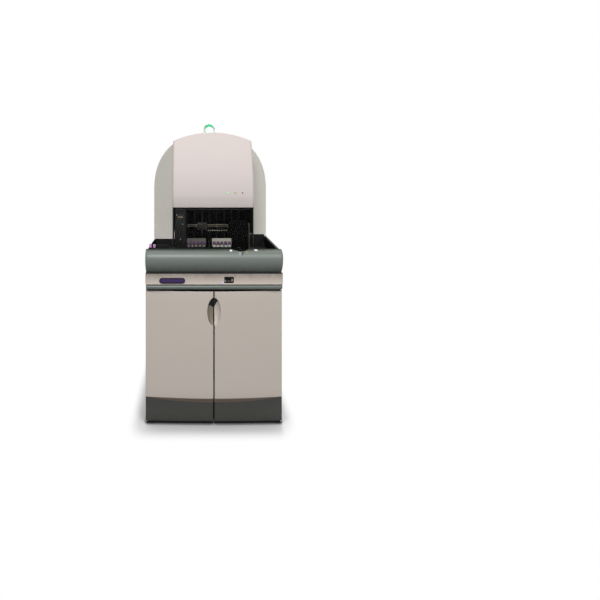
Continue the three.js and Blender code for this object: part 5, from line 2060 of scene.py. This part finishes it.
@dataclass
class CabinetInside(Assembly):
    """Boards, door liners, pivots, catch, feet, and the supplies that stand on the boards."""

    boards: tuple[str, ...] = (
        "cabinet_left_side", "cabinet_right_side", "cabinet_back", "cabinet_floor", "cabinet_shelf",
        "cabinet_top")
    screw_reach: float = 356.96
    foot_stem: float = 6.0
    foot_pad: float = 24.0
    cap_radius: float = 25.0
    cap_height: float = 16.0

    def add_boards(self) -> None:
        """Builds the coated boards with eased edges and their fixing screws."""
        for node in self.boards:
            name = node.replace("cabinet", "coated")
            self.bench.dress(name, node, (0.9, 40, 2), "board_grey", "board_grey")
        reach = self.screw_reach
        places = [(x, CABINET_BACK, z) for x in (-reach, reach) for z in (60, 240, 420, 600, 720)]
        heads = self.bench.setter.at_places(screw_head(3.0, 1), places)
        self.bench.fit("cabinet_back_screws", heads, "brushed_steel", "steel")

    def add_liners(self) -> None:
        """Builds the pressed inner panel and the seal of each door."""
        for side in Side:
            body = f"{side.word}_door_leaf"
            xs = sorted((side.value * 40.0, side.value * 335.0))
            panel = Form().box((xs[0], DOOR_BACK - 0.4, 70), (xs[1], DOOR_BACK + 2.4, 690), 1.0, 2)
            dish = Form().box((xs[0] + 26, DOOR_BACK + 1.0, 96), (xs[1] - 26, DOOR_BACK + 8, 664), 0.8, 2)
            self.bench.fit(f"{side.word}_door_liner", panel.cut(dish), "board_grey", "door_beige", body)
            rib = Form().box((xs[0] + 30, DOOR_BACK + 0.6, 150), (xs[1] - 30, DOOR_BACK + 2.2, 156), 0.5, 1)
            ribs = self.bench.setter.in_rows(rib, 5, (0, 0, 110))
            self.bench.fit(f"{side.word}_liner_ribs", ribs, "board_grey", "door_beige", body)

    def add_pivots(self) -> None:
        """Builds the pivot plates and the magnetic catch."""
        for side in Side:
            self.bench.dress(
                f"{side.word}_pivot_plate", f"{side.word}_lower_pivot", (0.6, 35, 2), "brushed_steel",
                "steel")
        self.bench.block(
            "catch_case", *node_box("door_catch"), (1.6, 3), "bay_dark", "bay_black",
            replaces=("door_catch",))

    def add_feet(self) -> None:
        """Builds four threaded feet on rubber pads."""
        r, s = self.foot_pad, self.foot_stem
        for row, side in ((row, side) for row in ("front", "rear") for side in Side):
            name = f"{row}_{side.word}"
            body = f"foot_{name}"
            low, high = node_box(f"{name}_foot")
            place = ((low[0] + high[0]) / 2, (low[1] + high[1]) / 2, 0)
            pad = Form().turn(
                [(0.1, 0), (r - 1, 0), (r, 1), (r, 4.2), (r - 1.6, 5.4), (r - 8, 6), (0.1, 6)], place, 40)
            self.bench.fit(f"{name}_rubber_pad", pad, "foot_rubber", "foot_rubber", body, (f"{name}_foot",))
            thread = [(0.1, 5.5), (s - 0.2, 5.5)]
            for z in spread(6.5, high[2] - 0.8, 7)[:-1]:
                thread += [(s - 0.7, z), (s - 0.05, z + 0.55)]
            stem = Form().turn([*thread, (s - 0.8, high[2]), (0.1, high[2])], place, 24)
            self.bench.fit(f"{name}_threaded_stem", stem, "brushed_steel", "steel", body, sharp=30)

    def add_tank(self, node: str, finish: str, cap_finish: str) -> None:
        """Builds a moulded container with grooves round it and a ridged cap.

        Args:
            node: Frame node that it replaces.
            finish: Finish of the container.
            cap_finish: Finish of its cap.
        """
        low, high = node_box(node)
        head = high[2]
        top = head - self.cap_height
        body = Form().box(low, (high[0], high[1], top), 16.0, 5)

        def plan(out: float, corner: float) -> list[Pair]:
            """Plan of the container set out by so much."""
            return rounded_rectangle(
                (low[0] - out, low[1] - out), (high[0] + out, high[1] + out), corner, 4)

        for share in (0.3, 0.55, 0.8):
            level = low[2] + (top - low[2]) * share
            outer, inner = plan(6, 18), plan(-2.2, 13.8)
            body.cut(Form().layers(
                2, (outer, level - 3), (inner, level - 1.4), (inner, level + 1.4), (outer, level + 3),
                (outer, level - 3), caps=False))
        word = node.split("_")[0]
        self.bench.fit(f"{word}_vessel", body, finish, finish, replaces=(node,), sharp=50)
        place = (*self.cap_place(node), 0)
        foot, cap = top - 0.2, self.cap_radius
        lid = Form().turn(
            [(0.1, foot), (cap, foot), (cap, head - 2.2), (cap - 0.8, head - 0.6), (cap - 2.4, head),
             (cap * 0.55, head), (cap * 0.5, head - 1.2), (0.1, head - 1.2)], place, 48)
        self.bench.fit(f"{word}_cap", lid, cap_finish, finish)
        ridge = Form().box((cap - 0.4, -0.7, foot + 1.5), (cap + 0.8, 0.7, head - 3), 0.3, 1)
        self.bench.fit(f"{word}_cap_ridges", self.bench.setter.in_ring(ridge, 36, place), cap_finish, finish)

    def cap_place(self, node: str) -> Pair:
        """Middle of a container's cap, from the highest points of its node.

        Args:
            node: The frame node.

        Returns:
            Its X and Y.
        """
        points = [v.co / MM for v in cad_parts[node].data.vertices]
        peak = max(p.z for p in points)
        upper = [p for p in points if p.z > peak - 0.5]
        return (sum(p.x for p in upper) / len(upper), sum(p.y for p in upper) / len(upper))

    def add_air_supply(self) -> None:
        """Builds the air supply: a case with louvres and a gauge."""
        low, high = node_box("air_supply")
        front = low[1]
        self.bench.block(
            "air_supply_case", low, high, (6.0, 4), "module_grey", "module_grey", replaces=("air_supply",))
        fin = Form().box(
            (low[0] + 20, front - 0.5, low[2] + 40), (low[0] + 24, front + 0.5, high[2] - 40), 0.4, 1)
        fins = self.bench.setter.in_rows(fin, 14, (10, 0, 0))
        self.bench.fit("air_supply_louvres", fins, "gasket_black", "module_grey")
        dial = Form().turn(
            [(0.1, 0.5), (18, 0.5), (18, -0.6), (16.8, -0.9), (15.6, -0.4), (0.1, -0.4)],
            (high[0] - 60, front, high[2] - 70), 40, 1)
        self.bench.fit("air_gauge_face", dial, "label_white", "module_grey")

    def build(self) -> None:
        """Builds the inside of the cabinet and the feet."""
        self.add_boards()
        self.add_liners()
        self.add_pivots()
        self.add_feet()
        self.add_tank("diluent_container", "tank_white", "cap_blue")
        self.add_tank("waste_container", "waste_amber", "bay_dark")
        self.add_tank("lyse_container", "tank_white", "cap_green")
        self.add_air_supply()


@dataclass
class Back(Assembly):
    """Rear cover with vents, fluid ports, mains inlet and data sockets."""

    housing: Housing
    front: float = 400.3
    face: float = 405.3
    screw_inset: float = 14.0
    port_start: float = -300.0
    port_step: float = 34.0
    port_height: float = 846.0

    def add_cover(self) -> None:
        """Builds the rear cover, with its field of slots and the pocket for the mains inlet."""
        cover = Form().layers(1, *(
            (self.housing.outline(inset, BAND_BOTTOM + inset, 64), y) for y, inset in (
                (self.front, 0), (self.face - 1.4, 0), (self.face - 0.4, 0.5), (self.face, 1.6))))
        slot = Form().box((-232, self.front - 3, 1400), (-152, BACK + 3, 1404.5), 0)
        cover.cut(self.bench.setter.in_rows(slot, 3, (192, 0, 0), 12, (0, 0, 13)))
        cover.cut(Form().box((196, self.face - 2.6, 826), (286, BACK + 3, 892), 2.0, 2))
        self.bench.fit("rear_panel", cover, "cool_grey", "cool_grey", replaces=("rear_cover",))
        self.bench.block(
            "vent_screen", (-262, 396.2, 1388), (262, 399.9, 1560), (0.3, 1), "gasket_black", "cool_grey")

    def add_screws(self) -> None:
        """Sets screws along the edge of the cover."""
        inset = self.screw_inset
        edge = self.housing.outline(inset, BAND_BOTTOM + inset, 12)
        sides = [(s * (SHELL_HALF - inset), z) for s in (-1, 1) for z in (930, 1070, 1210)]
        places = [(x, self.face - 0.1, z) for x, z in (*edge, *sides)]
        heads = self.bench.setter.at_places(screw_head(3.6, 1), places)
        self.bench.fit("rear_screws", heads, "brushed_steel", "steel")

    def add_mains(self) -> None:
        """Builds the mains inlet with its pins and fuse drawer."""
        back = self.face - 2.5
        inlet = Form().prism(rounded_rectangle((204, 834), (278, 884), 5, 5), 1, back - 0.2, back + 1.6)
        mouth = rounded_rectangle((212, 842), (240, 866), 4, 4)
        inlet.cut(Form().prism(mouth, 1, back + 0.4, BACK + 4))
        self.bench.fit("mains_inlet", inlet, "bay_dark", "bay_black")
        pin = Form().box((218.5, back + 0.2, 853), (220.5, back + 1.5, 859), 0.3, 1)
        self.bench.fit("mains_pins", self.bench.setter.in_rows(pin, 3, (6.5, 0, 0)), "brushed_steel", "steel")
        self.bench.block(
            "fuse_drawer", (248, back + 0.4, 844), (270, back + 2.6, 872), (0.7, 2), "bay_black",
            "bay_black")

    def port_place(self, index: int) -> Point:
        """Where a port of the row sits."""
        return (self.port_start + self.port_step * index, self.face, self.port_height)

    def add_ports(self) -> None:
        """Builds a row of fluid ports and a row of data sockets."""
        port = Form().turn(
            [(0.1, -0.4), (8.2, -0.4), (8.2, 0.35), (7.6, 0.8), (5.2, 0.9), (5.0, 0.3), (0.1, 0.3)],
            (0, 0, 0), 24, 1)
        row = self.bench.setter.at_places(port, [self.port_place(i) for i in range(6)])
        self.bench.fit("fluid_ports", row, "brushed_steel", "steel")
        for i, finish in enumerate(("cap_blue", "cap_green", "waste_amber")):
            place = self.port_place(2 * i)
            collar = Form().turn([(8.6, -0.3), (10.6, -0.3), (10.6, 0.5), (8.6, 0.5)], place, 28, 1)
            hole = Form().turn([(8.4, -3), (8.4, 3)], place, 28, 1)
            self.bench.fit(f"port_collar_{i + 1}", collar.cut(hole), finish, "cool_grey")
        f = self.face
        socket = Form().box((-40, f - 0.4, 838), (-22, f + 0.8, 854), 0.6, 2)
        socket.cut(Form().box((-38, f + 0.1, 840), (-24, f + 3, 852), 0))
        sockets = self.bench.setter.in_rows(socket, 4, (30, 0, 0))
        self.bench.fit("data_sockets", sockets, "bay_dark", "bay_black")

    def build(self) -> None:
        """Builds the back."""
        self.add_cover()
        self.add_screws()
        self.add_mains()
        self.add_ports()


@dataclass
class Chassis(Assembly):
    """Chassis base, power supply, board cage and the hood's hinge."""

    card_count: int = 12
    card_step: float = 25.0

    def add_base(self) -> None:
        """Builds the base plate."""
        self.bench.dress("base_plate", "chassis_base", (1.2, 40, 2), "board_grey", "board_grey")

    def add_power_supply(self) -> None:
        """Builds the power supply case with its fan slots."""
        low, high = node_box("power_supply")
        x, y, z = low
        self.bench.block(
            "supply_case", low, high, (2.0, 3), "module_grey", "module_grey", replaces=("power_supply",))
        slot = Form().box((x + 30, y - 0.4, z + 30), (x + 110, y + 0.4, z + 33), 0.3, 1)
        slots = self.bench.setter.in_rows(slot, 2, (130, 0, 0), 9, (0, 0, 11))
        self.bench.fit("supply_slots", slots, "gasket_black", "module_grey")

    def add_board_cage(self) -> None:
        """Builds the cage of circuit boards with its cards."""
        low, high = node_box("board_cage")
        x, y, z = low
        far, back, top = high
        cage = Form().box(low, high, 2.0, 2)
        cage.cut(Form().box((x + 8, y + 8, z + 12), (far - 8, back + 5, top - 12), 0))
        self.bench.fit("cage_frame", cage, "module_grey", "board_green", replaces=("board_cage",))
        card = Form().box((x + 20, y + 12, z + 12.5), (x + 21.8, back - 4, top - 12.5), 0.2, 1)
        cards = self.bench.setter.in_rows(card, self.card_count, (self.card_step, 0, 0))
        self.bench.fit("circuit_cards", cards, "board_green", "board_green")
        chip = Form().box((x + 21.9, y + 40, z + 40), (x + 24.5, y + 70, z + 60), 0.3, 1)
        chips = self.bench.setter.in_rows(chip, self.card_count, (self.card_step, 0, 0), 4, (0, 40, 38))
        self.bench.fit("card_chips", chips, "bay_black", "board_green")

    def add_hinge(self) -> None:
        """Dresses the hood's hinge."""
        edge = (0.35, 40, 2)
        self.bench.dress("hinge_bracket", "hood_hinge_bracket", edge, "brushed_steel", "steel", sharp=35)
        self.bench.dress("hinge_leaf", "hood_hinge_leaf", edge, "brushed_steel", "steel", "hood", 35)

    def build(self) -> None:
        """Builds the chassis."""
        self.add_base()
        self.add_power_supply()
        self.add_board_cage()
        self.add_hinge()


@dataclass
class Studio:
    """Plain pale floor, white surround, soft lamps and a level camera, in metres."""

    eye: Point = (-0.1285, -2.0165, 1.326)
    lens: float = 17.72
    sensor: float = 36.0
    shift: Pair = (0.182, -0.19)
    sky: tuple[float, float, float, float] = (0.93, 0.95, 1.0, 1.0)
    sky_power: float = 0.25
    floor_size: float = 30.0
    floor_glow: float = 0.03
    pale: float = 0.84
    bounce: float = 0.06
    shadow_reach: float = 0.16
    crease_reach: float = 0.02
    crease_span: Pair = (0.5, 0.95)
    fade_span: Pair = (0.036, 0.125)
    shade_middle: Point = (0.0, 0.025, 0.0)
    shade_shape: Point = (1.15, 1.0, 1.0)
    footprint: Point = (0.376, 0.395, 0.0)

    def add_camera(self) -> None:
        """Sets the camera level, looking straight at the front."""
        data = bpy.data.cameras.new("photo_camera")
        data.lens = self.lens
        data.sensor_width = self.sensor
        data.sensor_fit = "HORIZONTAL"
        data.shift_x, data.shift_y = self.shift
        data.clip_start = 0.05
        camera = bpy.data.objects.new("photo_camera", data)
        camera.location = self.eye
        camera.rotation_euler = (math.radians(90), 0, 0)
        bpy.context.scene.collection.objects.link(camera)
        bpy.context.scene.camera = camera

    def surround(self, tree: Tree, kind: str, other: Socket) -> None:
        """Ends a tree in white for rays that see the surround and another shader for the rest.

        Args:
            tree: Node tree of the floor or the world.
            kind: World or Material.
            other: The other shader.
        """
        rays = add_node(tree, "ShaderNodeLightPath").outputs
        direct = add_math(tree, "MAXIMUM", rays["Is Camera Ray"], rays["Is Glossy Ray"])
        seen = add_math(tree, "MAXIMUM", direct, rays["Is Transmission Ray"])
        mix = blend(tree, seen, other, self.seen_as(tree, kind))
        add_node(tree, f"ShaderNodeOutput{kind}", {"Surface": mix})

    def seen_as(self, tree: Tree, kind: str) -> Socket:
        """Adds what such rays see: plain white, and near the machine its soft shadow.

        Args:
            tree: Node tree of the floor or the world.
            kind: World or Material.

        Returns:
            The shader.
        """
        full = {"Color": (1.0, 1.0, 1.0, 1.0), "Strength": 1.0}
        if kind == "World":
            return add_node(tree, "ShaderNodeBackground", full).outputs[0]
        white = add_node(tree, "ShaderNodeEmission", full).outputs[0]
        return blend(tree, self.floor_fade(tree), self.floor_near(tree), white)

    def floor_near(self, tree: Tree) -> Socket:
        """Adds the floor as the camera sees it, with painted shade from ambient occlusion where the machine
        stands close.

        Args:
            tree: Node tree of the floor.

        Returns:
            The shader.
        """
        close = add_node(tree, "ShaderNodeAmbientOcclusion", {
            "Color": (self.pale, self.pale, self.pale, 1.0), "Distance": self.shadow_reach}).outputs["Color"]
        tight = add_node(tree, "ShaderNodeAmbientOcclusion", {"Distance": self.crease_reach}).outputs["AO"]
        crease = add_node(tree, "ShaderNodeMapRange", {
            "Value": tight, "From Min": self.crease_span[0], "From Max": self.crease_span[1]}).outputs[0]
        tone = add_node(tree, "ShaderNodeVectorMath", {0: close, "Scale": crease}, operation="SCALE")
        lit = add_node(tree, "ShaderNodeBsdfDiffuse", {"Color": tone.outputs["Vector"]}).outputs[0]
        glow = add_node(tree, "ShaderNodeEmission", {"Strength": self.floor_glow}).outputs[0]
        return add_node(tree, "ShaderNodeAddShader", {0: lit, 1: glow}).outputs[0]

    def floor_fade(self, tree: Tree) -> Socket:
        """Adds how far the floor has turned white, by the distance from the machine's foot.

        Args:
            tree: Node tree of the floor.

        Returns:
            The share of white.
        """
        step = add_node(tree, "ShaderNodeTexCoord").outputs["Object"]
        for operation, value in (
                ("SUBTRACT", self.shade_middle), ("ABSOLUTE", (0, 0, 0)), ("SUBTRACT", self.footprint),
                ("MAXIMUM", (0, 0, 0)), ("MULTIPLY", self.shade_shape)):
            step = add_node(tree, "ShaderNodeVectorMath", {0: step, 1: value}, operation=operation).outputs[0]
        reach = add_node(tree, "ShaderNodeVectorMath", {0: step}, operation="LENGTH").outputs["Value"]
        return add_node(tree, "ShaderNodeMapRange", {
            "Value": reach, "From Min": self.fade_span[0], "From Max": self.fade_span[1],
        }, interpolation_type="SMOOTHSTEP").outputs[0]

    def add_world(self) -> None:
        """Sets a soft grey world that the camera sees as white."""
        world = bpy.data.worlds.new("studio")
        bpy.context.scene.world = world
        world.use_nodes = True
        tree = world.node_tree
        tree.nodes.clear()
        soft = add_node(tree, "ShaderNodeBackground", {"Color": self.sky, "Strength": self.sky_power})
        self.surround(tree, "World", soft.outputs[0])

    def add_floor(self) -> None:
        """Lays a pale floor that keeps the machine's soft shadow."""
        half = self.floor_size / 2
        mesh = bpy.data.meshes.new("studio_floor")
        mesh.from_pydata(
            [(-half, -half, 0), (half, -half, 0), (half, half, 0), (-half, half, 0)], [], [(0, 1, 2, 3)])
        floor = bpy.data.objects.new("studio_floor", mesh)
        bpy.context.scene.collection.objects.link(floor)
        material, tree, _shader = new_material("pale_floor")
        tree.nodes.clear()
        dim = add_node(tree, "ShaderNodeBsdfDiffuse", {"Color": (self.bounce, self.bounce, self.bounce, 1.0)})
        self.surround(tree, "Material", dim.outputs[0])
        mesh.materials.append(material)

    def add_lamp(self, name: str, place: Point, aim: Point, size: Pair, power: float) -> None:
        """Hangs one soft lamp.

        Args:
            name: Its name.
            place: Where it hangs, in metres.
            aim: Where it points.
            size: Width and height in metres.
            power: Watts.
        """
        data = bpy.data.lights.new(name, "AREA")
        data.shape = "RECTANGLE"
        data.size = size[0]
        data.size_y = size[1]
        data.energy = power
        lamp = bpy.data.objects.new(name, data)
        lamp.location = place
        lamp.rotation_euler = (Vector(aim) - Vector(place)).to_track_quat("-Z", "Y").to_euler()
        bpy.context.scene.collection.objects.link(lamp)

    def build(self) -> None:
        """Sets up the whole studio."""
        self.add_camera()
        self.add_world()
        self.add_floor()
        self.add_lamp("ceiling_key", (-1.2, -7.4, 6.5), (0, -0.2, 0.9), (3.6, 2.4), 640)
        self.add_lamp("ceiling_right", (4.4, -5.6, 5.4), (0, -0.2, 0.9), (2.6, 2.0), 220)
        self.add_lamp("ceiling_back", (1.6, 6.8, 5.0), (0, 0.2, 0.8), (4.0, 2.4), 420)
        self.add_lamp("ceiling_left", (-5.0, -3.8, 5.2), (0, -0.2, 0.9), (2.4, 2.0), 85)


def main() -> None:
    """Builds the studio and every sub-assembly in order."""
    logging.basicConfig(level=logging.INFO, format="%(message)s")
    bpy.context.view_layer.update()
    scene = bpy.context.scene
    scene.view_settings.view_transform = "Standard"
    bench = Bench()
    Studio().build()
    housing = Housing(bench)
    for part in (
            Cabinet(bench), FrontTrim(bench), Tray(bench), housing, Hood(bench), SampleBay(bench),
            Cassettes(bench), Beacon(bench), CabinetInside(bench), Back(bench, housing), Chassis(bench)):
        part.build()
    LOG.info("%d pieces fitted", bench.count)


if __name__ == "__main__":
    main()
